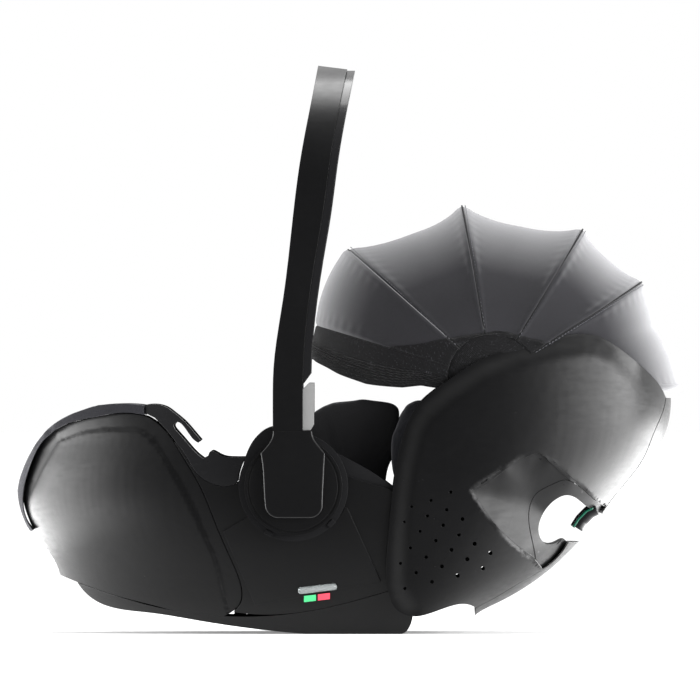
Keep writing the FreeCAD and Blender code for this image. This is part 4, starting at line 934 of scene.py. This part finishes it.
def dished(obj, weights, floor):
    """Turns the scoop's flat floor into a valley that starts flush at the scoop's edge."""
    co = places(obj)
    border, side = to_line(co, SCOOP_EDGE)
    inside = side < 0
    x, z = (co[:, 0] - 0.18) / 0.1, (co[:, 2] - 0.13) / 0.1
    terms = np.stack([x ** i * z ** j for i in range(4) for j in range(4 - i)], axis=1)
    surface = terms @ weights
    inset = surface - np.abs(co[:, 1])
    tail = 1 - ease(inset, 0.012, 0.045)
    wanted = 0.0006 + 0.42 * soft_border(co, SCOOP_EDGE) + np.maximum(inset - floor, 0)
    new = inset + (wanted - inset) * tail
    bowl = inside & (inset > -0.002)
    co[:, 1] = np.where(bowl, np.sign(co[:, 1]) * (surface - new), co[:, 1])
    move_to(obj, co)


HOOK_X = (258.0, 251.0, 243.0, 237.5)
HOOK_Z = (130.0, 126.5, 118.5, 110.0)


def build_panels():
    for side in ("left", "right"):
        head = dense_copy(f"head_side_{side}", f"head_panel_{side}")
        weights = panel_surface(places(head))
        dished(head, weights, 0.007)
        inward(head, rolled_edge(places(head)))
        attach(head, "backrest")
        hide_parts(f"head_panel_{side}")
        foot = dense_copy(f"foot_side_{side}", f"foot_panel_{side}")
        co = places(foot)
        step, where = to_line(co, FOOT_STEP)
        low = ease(step * where, -0.0012, 0.0016) * 0.0016
        inward(foot, low * ease(np.abs(co[:, 1]), 0.01, 0.06))
        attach(foot, "base")
        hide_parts(f"foot_panel_{side}")
    guides = dense_copy("belt_mouths", "belt_guides")
    dished(guides, weights, 0.006)
    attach(guides, "backrest")
    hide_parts("belt_guides")
    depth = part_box("belt_hooks")[1][1] - 0.0075
    line = np.interp(np.linspace(0, 3, 16), range(4), HOOK_X), np.interp(np.linspace(0, 3, 16), range(4), HOOK_Z)
    for side, sign in (("left", 1), ("right", -1)):
        path = [(x * MM, sign * depth, z * MM) for x, z in zip(*line)]
        hook = tube(f"belt_hook_{side}", path, 0.0058, "gloss_black", sides=20)
        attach(hook, "backrest")
        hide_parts("belt_hooks")
        rim = [(x - 0.0042, y + sign * 0.0044, z + 0.0012) for x, y, z in path]
        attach(tube(f"belt_hook_rim_{side}", rim, 0.0014, "hook_green", sides=10), "backrest")


build_canopy()
build_cushions()
build_webbing()
build_panels()


# ---------------------------------------------------------------- studio
def stage_floor():
    mesh = bpy.data.meshes.new("floor")
    s = 60.0
    mesh.from_pydata([(-s, -s, 0), (s, -s, 0), (s, s, 0), (-s, s, 0)], [], [(0, 1, 2, 3)])
    floor = bpy.data.objects.new("floor", mesh)
    bpy.context.scene.collection.objects.link(floor)
    f = Finish("floor_paper")
    f.set(Base_Color=(0.95, 0.95, 0.95, 1), Roughness=0.9, Specular_IOR_Level=0.1, Emission_Color=(1, 1, 1, 1),
          Emission_Strength=0.22,
          Normal=f.bump(f.noise(30.0, 4.0), 0.0005, 0.1))
    mesh.materials.append(f.material)
    return floor


def light(name, where, target, size, power, shape="RECTANGLE", tall=None):
    data = bpy.data.lights.new(name, "AREA")
    data.shape = shape
    data.size = size
    data.size_y = tall or size
    data.energy = power
    obj = bpy.data.objects.new(name, data)
    obj.location = where
    obj.rotation_mode = "QUATERNION"
    obj.rotation_quaternion = (Vector(target) - Vector(where)).to_track_quat("-Z", "Y")
    bpy.context.scene.collection.objects.link(obj)
    return obj


stage_floor()
world = bpy.data.worlds.new("studio")
world.use_nodes = True
world.node_tree.nodes["Background"].inputs["Color"].default_value = (1, 1, 1, 1)
world.node_tree.nodes["Background"].inputs["Strength"].default_value = 1.0
bpy.context.scene.world = world

light("foot_side", (-1.85, -0.35, 0.30), (-0.25, -0.15, 0.12), 1.9, 28.0, tall=0.8)
light("head_side", (1.55, -1.05, 0.42), (0.25, -0.15, 0.15), 1.9, 66.0, tall=0.9)
light("foot_low", (-1.0, 0.25, 0.004), (-1.0, 0.25, 1.0), 1.1, 26.0, tall=1.6)
light("head_low", (0.95, 0.25, 0.004), (0.95, 0.25, 1.0), 1.1, 30.0, tall=1.6)
light("top", (0.0, 0.3, 2.4), (0, 0, 0.3), 1.6, 40.0)
bpy.context.scene.view_settings.view_transform = "Standard"

NEAR_SIDE = 0.2175
DISTANCE = 25.0
camera_data = bpy.data.cameras.new("camera")
camera_data.sensor_width = 36.0
camera_data.lens = 36.0 * DISTANCE / 0.728
camera_data.clip_end = 100.0
camera = bpy.data.objects.new("camera", camera_data)
camera.location = (0.0, -NEAR_SIDE - DISTANCE, 0.2964)
camera.rotation_euler = (math.pi / 2, 0, 0)
bpy.context.scene.collection.objects.link(camera)
bpy.context.scene.camera = camera
